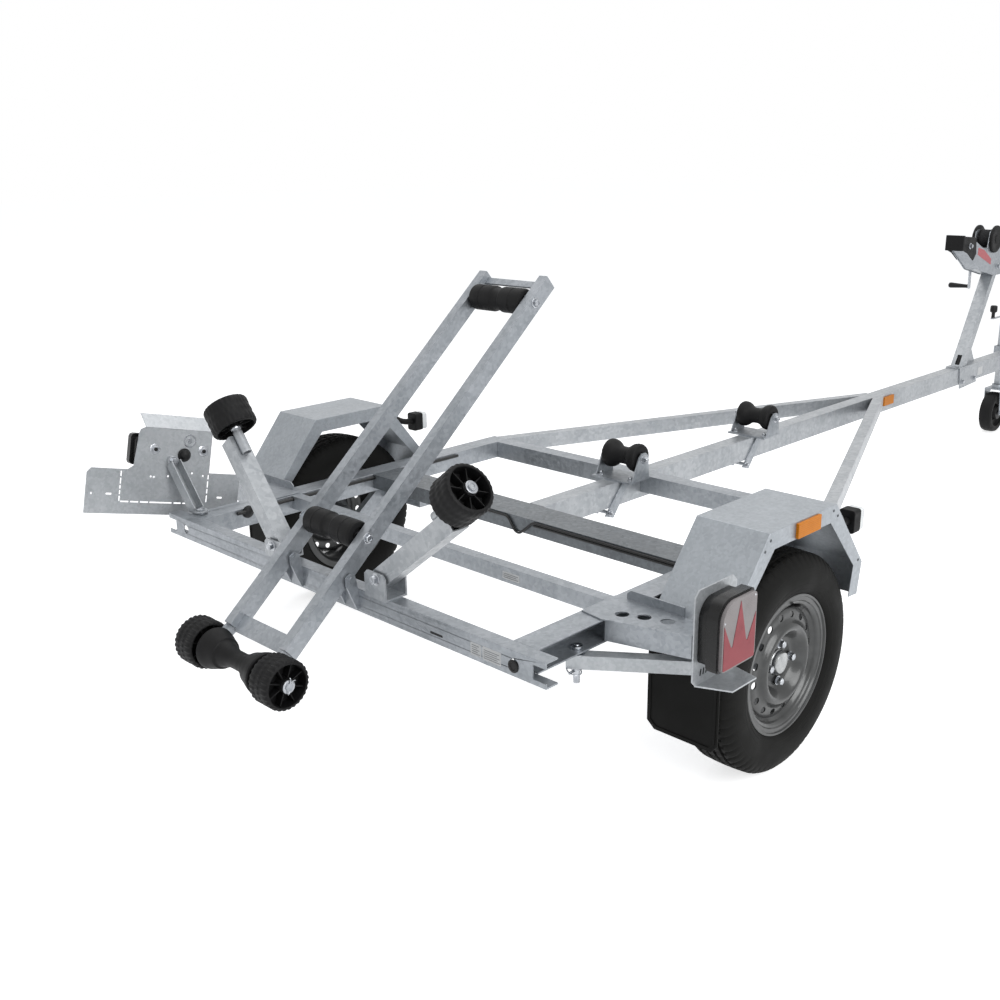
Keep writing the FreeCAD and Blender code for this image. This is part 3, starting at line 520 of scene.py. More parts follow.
def linear(code: str) -> tuple[float, float, float, float]:
    """Turn an sRGB hex colour to the linear values that a shader takes.

    Args:
        code: The colour, as # and six hex digits.

    Returns:
        Red, green, blue and an alpha of 1.
    """
    values = [int(code[i:i + 2], 16) / 255 for i in (1, 3, 5)]
    red, green, blue = (v / 12.92 if v <= 0.04045 else ((v + 0.055) / 1.055) ** 2.4 for v in values)
    return (red, green, blue, 1.0)


Link = tuple[bpy.types.Node, str | int]
Feeds = dict[str, Link | float]


def add_node(tree: bpy.types.NodeTree, kind: str, settings: dict[str | int, object] | None = None,
             links: dict[str | int, Link] | None = None) -> bpy.types.Node:
    """Add a node with its settings and its incoming links.

    Args:
        tree: The node tree.
        kind: The node's type, without the ShaderNode in front.
        settings: Values for its properties, or for its inputs by name or number.
        links: For each input, by name or number, the node and output that feed it.

    Returns:
        The new node.
    """
    made = tree.nodes.new("ShaderNode" + kind)
    for key, value in (settings or {}).items():
        if isinstance(key, str) and hasattr(made, key) and key not in made.inputs:
            setattr(made, key, value)
        else:
            made.inputs[key].default_value = value
    for key, (source, output) in (links or {}).items():
        tree.links.new(source.outputs[output], made.inputs[key])
    return made


def per_metre(size: float) -> float:
    """The scale of a pattern whose cells are `size` millimetres across, on coordinates in metres."""
    return 1000.0 / size


@dataclass(frozen=True)
class Finish:
    """How a surface looks: what it is made of, and how it was made."""

    name: str

    def material(self) -> bpy.types.Material:
        """Find the finish's material, or make it the first time that it is asked for.

        Returns:
            The material.
        """
        made = bpy.data.materials.get(self.name)
        if made is None:
            made = bpy.data.materials.new(self.name)
            made.use_nodes = True
            tree = made.node_tree
            tree.nodes.clear()
            shader = add_node(tree, "BsdfPrincipled")
            add_node(tree, "OutputMaterial", links={"Surface": (shader, "BSDF")})
            for name, value in self.surface(tree, (add_node(tree, "TexCoord"), "Object")).items():
                if isinstance(value, tuple):
                    source, output = value
                    tree.links.new(source.outputs[output], shader.inputs[name])
                else:
                    shader.inputs[name].default_value = value
        return made

    def surface(self, tree: bpy.types.NodeTree, place: Link) -> Feeds:
        """Add the finish's patterns to its material.

        Args:
            tree: The material's nodes.
            place: Its texture coordinates, in metres on the piece.

        Returns:
            For inputs of the Principled shader, what each is joined or set to.
        """
        raise NotImplementedError


@dataclass(frozen=True)
class HotDipZinc(Finish):
    """Steel dipped in molten zinc, which freezes in spangles: a cool grey, half matt, half mirror."""

    dark: str = "#90959a"
    light: str = "#a7abb0"
    spangle: float = 9.0            # the crystals' width in mm, drawn about twice as coarse as they grow
    wander: float = 0.012           # how far their edges are bent
    cloud: float = 160.0            # width in mm of the dull patches where the zinc cooled slowly
    drag: float = 26.0              # width in mm of the marks left where the zinc ran off
    grain: float = 2.4              # width of the relief's grain, in mm
    depth: float = 0.8              # the relief's height, in mm
    metallic: float = 0.62
    rough: Pair = (0.3, 0.46)

    def surface(self, tree: bpy.types.NodeTree, place: Link) -> Feeds:
        """Add crystals of varying grey and gloss, under slow clouds, with drag marks in the relief.

        Args:
            tree: The material's nodes.
            place: Its texture coordinates, in metres on the piece.

        Returns:
            For inputs of the Principled shader, what each is joined or set to.
        """
        warp = add_node(tree, "TexNoise", {"Scale": per_metre(30), "Detail": 2.0}, {"Vector": place})
        bend = add_node(tree, "Mix", {"data_type": "VECTOR", 0: self.wander},
                        {4: place, 5: (warp, "Color")})
        cells = add_node(tree, "TexVoronoi", {"Scale": per_metre(self.spangle)}, {"Vector": (bend, 1)})
        shade = add_node(tree, "SeparateColor", {}, {"Color": (cells, "Color")})
        cloud = add_node(tree, "TexNoise", {"Scale": per_metre(self.cloud), "Detail": 5.0, "Roughness": 0.62},
                         {"Vector": place})
        drawn_out = add_node(tree, "Mapping", {"Scale": (1.0, 1.0, 0.12)}, {"Vector": place})
        streak = add_node(tree, "TexNoise", {"Scale": per_metre(self.drag), "Detail": 3.0},
                          {"Vector": (drawn_out, 0)})
        both = add_node(tree, "Math", {"operation": "MULTIPLY_ADD", 1: 0.34}, {0: (shade, 0), 2: (cloud, 0)})
        three = add_node(tree, "Math", {"operation": "MULTIPLY_ADD", 1: 0.3}, {0: (streak, 0), 2: (both, 0)})
        amount = add_node(tree, "MapRange", {1: 0.58, 2: 1.06}, {0: (three, 0)})
        tone = add_node(tree, "Mix", {"data_type": "RGBA", 6: linear(self.dark), 7: linear(self.light)},
                        {0: (amount, 0)})
        gloss = add_node(tree, "MapRange", {3: self.rough[0], 4: self.rough[1]}, {0: (shade, 1)})
        grain = add_node(tree, "TexNoise", {"Scale": per_metre(self.grain), "Detail": 3.0},
                         {"Vector": place})
        relief = add_node(tree, "Math", {"operation": "MULTIPLY_ADD", 1: 0.5},
                          {0: (grain, 0), 2: (streak, 0)})
        bump = add_node(tree, "Bump", {"Strength": 0.12, "Distance": self.depth * MM},
                        {"Height": (relief, 0)})
        return {"Metallic": self.metallic, "Base Color": (tone, 2), "Roughness": (gloss, 0),
                "Normal": (bump, 0)}


@dataclass(frozen=True)
class Grained(Finish):
    """A plain moulded, painted or cast surface: one colour that varies a little, with a fine relief."""

    colour: str = "#808080"
    second: str = "#707070"
    patch: float = 60.0             # width of the slow changes of colour, in mm
    grain: float = 1.5              # width of the relief's grain, in mm
    relief: float = 0.2
    depth: float = 0.4              # the relief's height, in mm
    rough: Pair = (0.4, 0.55)
    metallic: float = 0.0
    specular: float = 0.5
    coat: float = 0.0

    def surface(self, tree: bpy.types.NodeTree, place: Link) -> Feeds:
        """Add two near tones in slow patches, gloss that follows them, and a grain.

        Args:
            tree: The material's nodes.
            place: Its texture coordinates, in metres on the piece.

        Returns:
            For inputs of the Principled shader, what each is joined or set to.
        """
        patch = add_node(tree, "TexNoise", {"Scale": per_metre(self.patch), "Detail": 5.0, "Roughness": 0.6},
                         {"Vector": place})
        amount = add_node(tree, "MapRange", {1: 0.35, 2: 0.65}, {0: (patch, 0)})
        tone = add_node(tree, "Mix", {"data_type": "RGBA", 6: linear(self.colour), 7: linear(self.second)},
                        {0: (amount, 0)})
        gloss = add_node(tree, "MapRange", {3: self.rough[0], 4: self.rough[1]}, {0: (amount, 0)})
        grain = add_node(tree, "TexNoise", {"Scale": per_metre(self.grain), "Detail": 2.0},
                         {"Vector": place})
        bump = add_node(tree, "Bump", {"Strength": self.relief, "Distance": self.depth * MM},
                        {"Height": (grain, 0)})
        return {"Metallic": self.metallic, "Specular IOR Level": self.specular, "Coat Weight": self.coat,
                "Base Color": (tone, 2), "Roughness": (gloss, 0), "Normal": (bump, 0)}


@dataclass(frozen=True)
class PrismPlastic(Finish):
    """Acrylic moulded with rows of prisms on its back, which break the light into a fine lattice."""

    colour: str = "#a03030"
    bright: str = "#d05050"
    prism: float = 4.0              # width of a prism in mm, about twice the real one so that it shows
    rough: float = 0.3
    specular: float = 0.12

    def surface(self, tree: bpy.types.NodeTree, place: Link) -> Feeds:
        """Add a lattice of small facets in two tones, under a polished face.

        Args:
            tree: The material's nodes.
            place: Its texture coordinates, in metres on the piece.

        Returns:
            For inputs of the Principled shader, what each is joined or set to.
        """
        settings = {"Scale": per_metre(self.prism), "Randomness": 0.15, "distance": "MANHATTAN"}
        cells = add_node(tree, "TexVoronoi", settings, {"Vector": place})
        cloud = add_node(tree, "TexNoise", {"Scale": per_metre(40), "Detail": 2.0}, {"Vector": place})
        mixed = add_node(tree, "Math", {"operation": "MULTIPLY_ADD", 1: 0.9}, {0: (cells, 0), 2: (cloud, 0)})
        amount = add_node(tree, "MapRange", {1: 0.5, 2: 1.1}, {0: (mixed, 0)})
        tone = add_node(tree, "Mix", {"data_type": "RGBA", 6: linear(self.colour), 7: linear(self.bright)},
                        {0: (amount, 0)})
        bump = add_node(tree, "Bump", {"Strength": 0.25, "Distance": 0.6 * MM}, {"Height": (cells, 0)})
        return {"Roughness": self.rough, "Specular IOR Level": self.specular, "Base Color": (tone, 2),
                "Normal": (bump, 0)}


@dataclass(frozen=True)
class Webbing(Finish):
    """Polyester webbing, woven in a close twill: matt, with fine ribs across the strap."""

    colour: str = "#1b1b1c"
    second: str = "#2c2c2e"
    thread: float = 3.0             # a rib's width in mm, drawn coarser than the real thread so that it shows
    band: float = 6.28              # a wave node's bands are one unit wide at a scale of about 1 / band
    rough: float = 0.8
    specular: float = 0.25

    def surface(self, tree: bpy.types.NodeTree, place: Link) -> Feeds:
        """Add ribs of thread in two near tones.

        Args:
            tree: The material's nodes.
            place: Its texture coordinates, in metres on the piece.

        Returns:
            For inputs of the Principled shader, what each is joined or set to.
        """
        settings = {"Scale": per_metre(self.thread) / self.band, "bands_direction": "Y", "Distortion": 0.4}
        ribs = add_node(tree, "TexWave", settings, {"Vector": place})
        tone = add_node(tree, "Mix", {"data_type": "RGBA", 6: linear(self.colour), 7: linear(self.second)},
                        {0: (ribs, "Fac")})
        bump = add_node(tree, "Bump", {"Strength": 0.5, "Distance": 0.6 * MM}, {"Height": (ribs, "Fac")})
        return {"Roughness": self.rough, "Specular IOR Level": self.specular, "Base Color": (tone, 2),
                "Normal": (bump, 0)}


# dipped steel: beams and brackets, a darker copy that paints shade on the axle beam, sheet, the lights' arms
# and tubes
ZINC = HotDipZinc("hot_dip_galvanised_steel")
# the same zinc made darker: painted shade for the axle beam, which lies in shadow
ZINC_SHADED = HotDipZinc("hot_dip_galvanised_steel_painted_shade", "#5f6367", "#72777b", metallic=0.5)
ZINC_SHEET = HotDipZinc("hot_dip_galvanised_sheet", "#989da2", "#a9aeb3", spangle=7, cloud=260,
                        metallic=0.55, rough=(0.34, 0.44))
ZINC_ARM = HotDipZinc("hot_dip_galvanised_arm", "#a4a8ab", "#b8bbbe", spangle=7, cloud=240,
                      metallic=0.5, rough=(0.34, 0.44))
ZINC_TUBE = HotDipZinc("hot_dip_galvanised_tube", "#9ca0a4", "#b4b7ba", spangle=11, metallic=0.6)
# electroplated zinc on fasteners: smooth and bright beside the dipped steel
PLATED = Grained("zinc_plated_steel", "#b9bcc0", "#9b9ea3", patch=12, grain=0.8, relief=0.1,
                 rough=(0.22, 0.34), metallic=1.0)
# lacquered pressed steel, slightly metallic, that shows the pressing's soft sheen
WHEEL_PAINT = Grained("silver_lacquered_steel", "#454646", "#3c3d3d", patch=45, grain=0.7,
                      relief=0.08, rough=(0.28, 0.38), metallic=0.55, coat=0.3)
CAP_STEEL = Grained("bright_pressed_steel_cap", "#aeb0b0", "#989a9b", patch=20, grain=0.9,
                    relief=0.1, rough=(0.2, 0.3), metallic=0.9)
# sand-cast iron under zinc paint: coarse and dull
CAST = Grained("sand_cast_iron", "#5e6164", "#4c4f52", patch=25, grain=2.2, relief=0.6, depth=0.8,
               rough=(0.5, 0.7), metallic=0.5)
# vulcanised rubber from a polished mould: almost black, with a dusty, uneven gloss
TYRE = Grained("vulcanised_tyre_rubber", "#121211", "#181817", patch=80, grain=1.6, relief=0.25,
               rough=(0.6, 0.75), specular=0.12)
ROLLER = Grained("moulded_black_rubber", "#0b0b0c", "#111112", patch=35, grain=1.4, relief=0.3,
                 rough=(0.5, 0.66), specular=0.22)
FLAP = Grained("pressed_rubber_sheet", "#0b0b0a", "#111110", patch=120, grain=1.2, relief=0.3,
               rough=(0.55, 0.7), specular=0.12)
# moulded or extruded plastics: an even colour under a light gloss
HOUSING = Grained("moulded_black_abs", "#101010", "#161617", patch=40, grain=1.0, relief=0.12,
                  rough=(0.22, 0.34), specular=0.28)
NYLON = Grained("moulded_black_nylon", "#141415", "#1c1c1d", patch=20, grain=1.1, relief=0.2,
                rough=(0.4, 0.5), specular=0.25)
CABLE = Grained("extruded_black_pvc", "#0f0f10", "#171718", patch=50, grain=2.0, relief=0.1,
                rough=(0.35, 0.45), specular=0.4)
# printed vinyl film: flat, even and a little glossy
LABEL = Grained("white_vinyl_label", "#d4d5d5", "#cbcccc", patch=30, grain=3.0, relief=0.03,
                rough=(0.35, 0.42))
LABEL_INK = Grained("grey_label_print", "#77797b", "#8a8c8e", patch=4, grain=2.0, relief=0.03)
RED_LABEL = Grained("red_vinyl_label", "#b5565c", "#c06a6e", patch=14, grain=3.0, relief=0.03)
# moulded acrylic: a fine lattice of prisms under a smooth face
LENS_RED = PrismPlastic("red_acrylic_lens", "#6e3338", "#974a50")
LENS_GREY = PrismPlastic("smoked_acrylic_lens", "#706a6b", "#908b8b")
LENS_WHITE = PrismPlastic("clear_acrylic_lens", "#c9cccd", "#eceeee", prism=5)
ORANGE = PrismPlastic("orange_prismatic_acrylic", "#b0640a", "#cc7a14", prism=5)
STRAP = Webbing("woven_polyester_webbing")


# ---- studio ------------------------------------------------------------------

@dataclass
class Studio:
    """A pale floor, a white surround, soft lamps and the camera."""

    floor_half: float = 40.0
    camera_place: Place = (-2328.2, -2266.3, 1531.9)
    yaw: float = 44.782
    pitch: float = -17.072
    roll: float = -0.848
    lens: float = 40.476
    shift: Pair = (-0.003, -0.0022)
    aim: Place = (200, 0, 450)      # what the lamps are turned to
    lamps: tuple[tuple[str, Place, float, float], ...] = (
        ("key", (-900, -6500, 4200), 4.5, 300),
        ("overhead", (1200, 600, 6500), 6.0, 150),
        ("rear_fill", (-6500, 1500, 3000), 4.0, 12),
    )

    def build(self) -> None:
        """Set the surround, the floor, the lamps and the camera."""
        self.world()
        self.floor()
        for name, place, size, power in self.lamps:
            self.lamp(name, place, size, power)
        self.camera()
        bpy.context.scene.view_settings.view_transform = "Standard"

    def world(self) -> None:
        """A grey sky for light, that shows as white where it is seen or mirrored."""
        world = bpy.data.worlds.new("surround")
        bpy.context.scene.world = world
        world.use_nodes = True
        tree = world.node_tree
        tree.nodes.clear()
        path = add_node(tree, "LightPath")
        seen = self.seen(tree, path)
        sky = add_node(tree, "Background", {"Color": (0.93, 0.96, 1.0, 1.0), "Strength": 0.4})
        white = add_node(tree, "Background", {"Color": (1.0, 1.0, 1.0, 1.0), "Strength": 1.0})
        mixed = add_node(tree, "MixShader", {}, {0: (seen, 0), 1: (sky, 0), 2: (white, 0)})
        add_node(tree, "OutputWorld", {}, {"Surface": (mixed, 0)})

    @staticmethod
    def seen(tree: bpy.types.NodeTree, path: bpy.types.Node) -> bpy.types.Node:
        """Tell rays that show the background from rays that only light the trailer.

        Args:
            tree: The node tree.
            path: Its Light Path node.

        Returns:
            A node that is one for rays from the camera, from mirrors and through glass, or else zero.
        """
        either = {"operation": "MAXIMUM"}
        direct = add_node(tree, "Math", either, {0: (path, "Is Camera Ray"), 1: (path, "Is Glossy Ray")})
        return add_node(tree, "Math", either, {0: (direct, 0), 1: (path, "Is Transmission Ray")})

    def floor(self) -> None:
        """A wide plane that is white where it is lit and keeps the trailer's shadow."""
        half = self.floor_half
        mesh = bpy.data.meshes.new("floor")
        corners = [(-half, -half), (half, -half), (half, half), (-half, half)]
        mesh.from_pydata([Vector((x, y, DATUM.origin.z)) for x, y in corners], [], [(0, 1, 2, 3)])
        item = bpy.data.objects.new("floor", mesh)
        bpy.context.scene.collection.objects.link(item)
        paint = bpy.data.materials.new("white_seamless_floor")
        paint.use_nodes = True
        tree = paint.node_tree
        tree.nodes.clear()
        matt = add_node(tree, "BsdfDiffuse", {"Color": (0.8, 0.8, 0.8, 1.0)})
        path = add_node(tree, "LightPath")
        lift = add_node(tree, "Math", {"operation": "MULTIPLY", 1: 0.7}, {0: (self.seen(tree, path), 0)})
        glow = add_node(tree, "Emission", {"Color": (1.0, 1.0, 1.0, 1.0)}, {"Strength": (lift, 0)})
        both = add_node(tree, "AddShader", {}, {0: (matt, 0), 1: (glow, 0)})
        add_node(tree, "OutputMaterial", {}, {"Surface": (both, 0)})
        mesh.materials.append(paint)

    def lamp(self, name: str, place: Place, size: float, power: float) -> None:
        """Hang a square soft lamp and turn it to the trailer's middle.

        Args:
            name: The lamp's name.
            place: Where it hangs, in millimetres from the datum.
            size: Its width in metres.
            power: Its power in watts.
        """
        light = bpy.data.lights.new(name, "AREA")
        light.size = size
        light.energy = power
        item = bpy.data.objects.new(name, light)
        item.location = DATUM.at(place)
        look = DATUM.at(self.aim) - item.location
        item.rotation_euler = look.to_track_quat("-Z", "Y").to_euler()
        bpy.context.scene.collection.objects.link(item)

    def camera(self) -> None:
        """Place the camera behind the trailer's right rear corner."""
        yaw, pitch, roll = (math.radians(a) for a in (self.yaw, self.pitch, self.roll))
        look = Vector((math.cos(pitch) * math.cos(yaw), math.cos(pitch) * math.sin(yaw), math.sin(pitch)))
        right = look.cross(Vector((0, 0, 1))).normalized()
        up = right.cross(look)
        across = right * math.cos(roll) + up * math.sin(roll)
        over = up * math.cos(roll) - right * math.sin(roll)
        data = bpy.data.cameras.new("camera")
        data.lens = self.lens
        data.shift_x, data.shift_y = self.shift
        data.clip_end = 200.0
        item = bpy.data.objects.new("camera", data)
        turn = Matrix((across, over, -look)).transposed().to_4x4()
        item.matrix_world = Matrix.Translation(DATUM.at(self.camera_place)) @ turn
        bpy.context.scene.collection.objects.link(item)
        bpy.context.scene.camera = item


# ---- the CAD's own pieces ----------------------------------------------------

@dataclass
class CadDress:
    """Finishes for the CAD nodes that show as they are."""

    groups: dict[Finish, tuple[str, ...]] = field(default_factory=lambda: {
        # the axle beam takes the darker zinc: painted shade
        ZINC_SHADED: ("axle_crossmember",),
        ZINC: ("middle_crossmember", "front_crossmember", "rear_crossbeam", "side_rails",
               "cradle_bars", "cradle_crossbars", "cradle_pivot_brackets", "fender_brackets_front",
               "fender_brackets_rear", "keel_roller_bracket_front", "keel_roller_bracket_rear",
               "rear_axle_carrier", "suspension", "winch_frame", "jack_clamp", "jack_fork"),
        ZINC_SHEET: ("fender_left", "fender_right"),
        ZINC_ARM: ("light_arm_left", "light_arm_right"),
        ZINC_TUBE: ("keel_beam", "drawbar", "drawbar_stays", "side_roller_arm_left", "side_roller_arm_right",
                    "winch_post", "jack_outer_tube", "jack_inner_tube"),
        PLATED: ("cradle_axles", "light_pivots", "winch_shaft", "winch_crank"),
        CAST: ("hub_left", "hub_right", "coupling_head"),
        CABLE: ("wiring_axle", "wiring_rail"),
        FLAP: ("mudflaps",),
        ROLLER: ("bow_stop", "jack_wheel"),
        NYLON: ("coupling_handle", "winch_drum"),
        HOUSING: ("lamp_left", "lamp_right"),
        WHEEL_PAINT: ("rim_left", "rim_right"),
        TYRE: ("tyre_left", "tyre_right"),
        LENS_WHITE: ("position_lamps",),
        ORANGE: ("side_reflectors",),
    })
    rounding: float = 1.2

    def build(self) -> None:
        """Give every CAD node a finish and soft edges, also those that later pieces stand for."""
        left = set(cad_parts)
        for finish, names in self.groups.items():
            for name in names:
                self.dress(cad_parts[name], finish)
                left.discard(name)
        for name in sorted(left):
            self.dress(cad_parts[name], ROLLER)
            LOG.info("%s has the rollers' rubber", name)

    def dress(self, item: bpy.types.Object, finish: Finish) -> None:
        """Put one finish on one node.

        Args:
            item: The node's object.
            finish: Its finish.
        """
        item.data.materials.clear()
        item.data.materials.append(finish.material())
        weld = item.modifiers.new("weld", "WELD")
        weld.merge_threshold = 0.00001
        soften(item, self.rounding)


# ---- road wheels -------------------------------------------------------------

@dataclass
class RoadWheel:
    """A tyre with its tread, the pressed wheel, its bolts, cap and valve."""

    side: Side
    middle: float = 892.0           # the wheel's middle plane from the centre line
    radius: float = 290.0
    pitches: int = 66               # tread pitches round the tyre
    steps: int = 5                  # rings to a pitch
    grooves: tuple[float, ...] = (-37.0, -13.0, 13.0, 37.0)
    groove: Pair = (7.0, 6.5)       # width and depth
    tread_half: float = 52.0
    tread_drop: float = 2.4         # from the crown to the tread's edges
    shoulder: float = 40.0          # from the middle plane
    sipes: Pair = (2.2, 3.6)        # depth on the ribs and on the shoulders
    sipe_step: float = 26.0         # across the tread, between sipes that start two rings apart
    notched: float = 270.0          # the radius above which the shoulders' sipes run down the wall
    holes: int = 16
    hole_ring: float = 128.0
    bolt_count: int = 4
    bolt_ring: float = 51.0
    wall: Outline = ((68, 189), (73.5, 198), (77.2, 213), (79, 226), (77.5, 244), (74, 260), (67, 274),
                     (58, 284), (52, 287.6))
    inside: Outline = ((-62, 185.4), (-62, 168.8), (-52, 168.8), (-60, 190), (-68, 226), (-64, 250),
                       (-50, 270), (0, 275), (50, 270), (64, 250), (68, 226), (60, 190), (52, 168.8),
                       (62, 168.8), (62, 185.4))
    barrel: Outline = ((-66, 184.5), (-66, 165), (-56, 155), (-31, 150), (-8, 142), (26, 142), (36, 143),
                       (41, 146.5), (46, 152), (50, 154.5), (54, 156), (57, 160), (59, 166), (60.5, 172),
                       (61, 177), (63.5, 178.6), (65.6, 179.4), (66.2, 182), (65.4, 185.2), (62.1, 185.2),
                       (62.1, 168), (58, 164.5), (52, 160.5), (30, 150), (10, 148), (-30, 156), (-52, 160),
                       (-62.1, 168), (-62.1, 184.5))
    disc: Outline = ((34, 144), (38, 145.4), (41, 143.5), (43.5, 139.5), (45.5, 134.5), (47, 129),
                     (47.6, 123.5), (48.3, 118.5), (51, 113.2), (55.5, 109.3), (60, 105.8), (63.2, 101.5),
                     (64.4, 96.5), (63.4, 91.5), (59.5, 86.6), (52.5, 81), (46, 76.2), (40, 72), (35.5, 68),
                     (33, 64), (32.2, 58), (32.6, 46), (33, 36), (31, 33), (29, 34), (28.8, 60), (30, 66),
                     (33.5, 71.5), (43, 79), (50, 84), (56.5, 89), (60, 96), (58, 101), (51, 107.4),
                     (46, 112), (44.4, 118), (43.6, 128), (41, 135), (37, 139.5), (31, 141.5))
    wall_rings: Outline = ((73.6, 201), (76.6, 214), (75.0, 252))

    def place(self) -> Matrix:
        """Local Z points outwards along the axle from the wheel's middle."""
        return sideways(self.side, 0, self.middle, self.radius)

    def build(self) -> None:
        """Make the tyre, the rim and the fittings."""
        name = self.side.label
        body = name + "_wheel"
        Piece("tyre_tread_" + name, [TYRE], body, "tyre_rubber", ["tyre_" + name], angle=28).make(self.tyre())
        rim = Piece("wheel_pressing_" + name, [WHEEL_PAINT], body, "wheel_silver", ["rim_" + name])
        rim.dress(self.rim())
        Piece("wheel_bolts_" + name, [PLATED], body, "galvanised_steel").make(self.bolts())
        Piece("hub_cap_" + name, [CAP_STEEL], body, "wheel_silver").make(self.cap())
        Piece("tyre_valve_" + name, [ROLLER], body, "black_rubber").make(self.valve())

    def tread(self) -> list[tuple[float, float, bool]]:
        """Work out the tread's section.

        Returns:
            Its points as (across, radius, whether sipes cut it).
        """
        width, depth = self.groove
        edge, half = self.tread_half, width / 2
        marks = [(-edge, 0.0, True), (-edge + 4, 0.0, True)]
        for g in self.grooves:
            marks += [(g - half - 1, 0.0, True), (g - half, depth, False), (g + half, depth, False),
                      (g + half + 1, 0.0, True)]
        marks += [(edge - 4, 0.0, True), (edge, 0.0, True)]
        crown = [self.radius - self.tread_drop * (a / edge) ** 2 for a, _, _ in marks]
        return [(a, c - d, cuts) for (a, d, cuts), c in zip(marks, crown)]

    def tyre(self) -> Draft:
        """Draw rings of the section, with the sipes sunk into the ribs and the shoulders.

        Returns:
            The tyre's drawing.
        """
        near = [(a, r, r > self.notched) for a, r in self.wall]
        far = [(-a, r, cuts) for a, r, cuts in reversed(near)]
        section = [(a, r, False) for a, r in self.inside] + near + self.tread()[::-1] + far
        draft = Draft(self.place())
        draft.loft([self.ring(section, i) for i in range(self.pitches * self.steps)], loop=True)
        for a, radius in self.wall_rings:
            bead = [(a - 1, radius - 1.6), (a + 0.9, radius - 0.6), (a + 0.9, radius + 0.6),
                    (a - 1.2, radius + 1.6)]
            draft.lathe(bead, count=96, closed=True)
        return draft

    def ring(self, section: Sequence[tuple[float, float, bool]], number: int) -> list[Vector]:
        """One ring of the tyre.

        Args:
            section: The tyre's section as (across, radius, whether sipes cut it).
            number: The ring's number.

        Returns:
            The ring's points.
        """
        turn = 2 * math.pi * number / (self.pitches * self.steps)
        ring = []
        for a, radius, cuts in section:
            skew = turn
            if cuts:
                skew += math.copysign(0.004, a) * (abs(a) - 24) / 14
                if (number + int(abs(a) / self.sipe_step) * 2) % self.steps == 0:
                    radius -= self.sipes[abs(a) > self.shoulder]
            ring.append(polar(radius, skew, a))
        return ring

    def rim(self) -> bpy.types.Object:
        """Make the barrel and the pressed disc, with its ring of oval holes.

        Returns:
            The two as one object.
        """
        place = self.place()
        barrel, disc, knives = Draft(place), Draft(place), Draft(place)
        barrel.lathe(self.barrel, count=120, closed=True)
        disc.lathe(self.disc, count=120, closed=True)
        for i in range(self.holes):
            turn = 2 * math.pi * (i + 0.35) / self.holes
            knives.plate(slot((0, 0), 21, 17, 90), 20, 80, spun(turn, self.hole_ring))
        for spot in self.bolt_spots(0):
            knives.plate(circle(7.5, 20), 20, 60, spot)
        pressing = solid_of(disc, "pressed_disc")
        cut(pressing, knives)
        ring = solid_of(barrel, "barrel")
        join([ring, pressing])
        return ring

    def bolt_spots(self, height: float) -> list[Matrix]:
        """The wheel bolts' places, at a height along the axle."""
        turns = [2 * math.pi * i / self.bolt_count for i in range(self.bolt_count)]
        return [spun(turn, self.bolt_ring, height) for turn in turns]

    def bolts(self) -> Draft:
        """Draw the wheel bolts with their coned seats.

        Returns:
            The bolts' drawing.
        """
        draft = Draft(self.place())
        for spot in self.bolt_spots(33):
            seat = [(-6, 6.5), (-4, 7), (2, 11), (4, 12.5), (5.5, 12.5), (5.5, AXIS_R)]
            draft.lathe(seat, spot, 20)
            draft.hexagon(spot, 17, 5.5, 19)
        return draft

    def cap(self) -> Draft:
        """Draw the dust cap over the hub's nut, with its rolled edge.

        Returns:
            The cap's drawing.
        """
        draft = Draft(self.place())
        draft.lathe([(26, 31), (30, 33.5), (34, 33.5), (36, 31), (44, 30), (48.5, 27), (50.5, 20),
                     (51, AXIS_R)])
        return draft

    def valve(self) -> Draft:
        """Draw a rubber valve with its dust cap.

        Returns:
            The valve's drawing.
        """
        draft = Draft(self.place())
        spot = Matrix.Rotation(math.radians(-7), 4, "Z") @ turned_to((152, 0, 42), (0.25, 0, 1))
        draft.lathe([(-8, 9), (-4, 9), (0, 6), (10, 5), (20, 3.6), (22, 3.2), (22, 4.2), (34, 4.2), (36, 3),
                     (36, AXIS_R)], spot, 16)
        return draft


def join(items: Sequence[bpy.types.Object]) -> None:
    """Join objects into the first of them.

    Args:
        items: The objects, of which all but the first are removed.
    """
    first = items[0]
    build = bmesh.new()
    for item in items:
        build.from_mesh(item.data)
    build.to_mesh(first.data)
    build.free()
    for item in items[1:]:
        bpy.data.objects.remove(item)


# ---- rollers -----------------------------------------------------------------

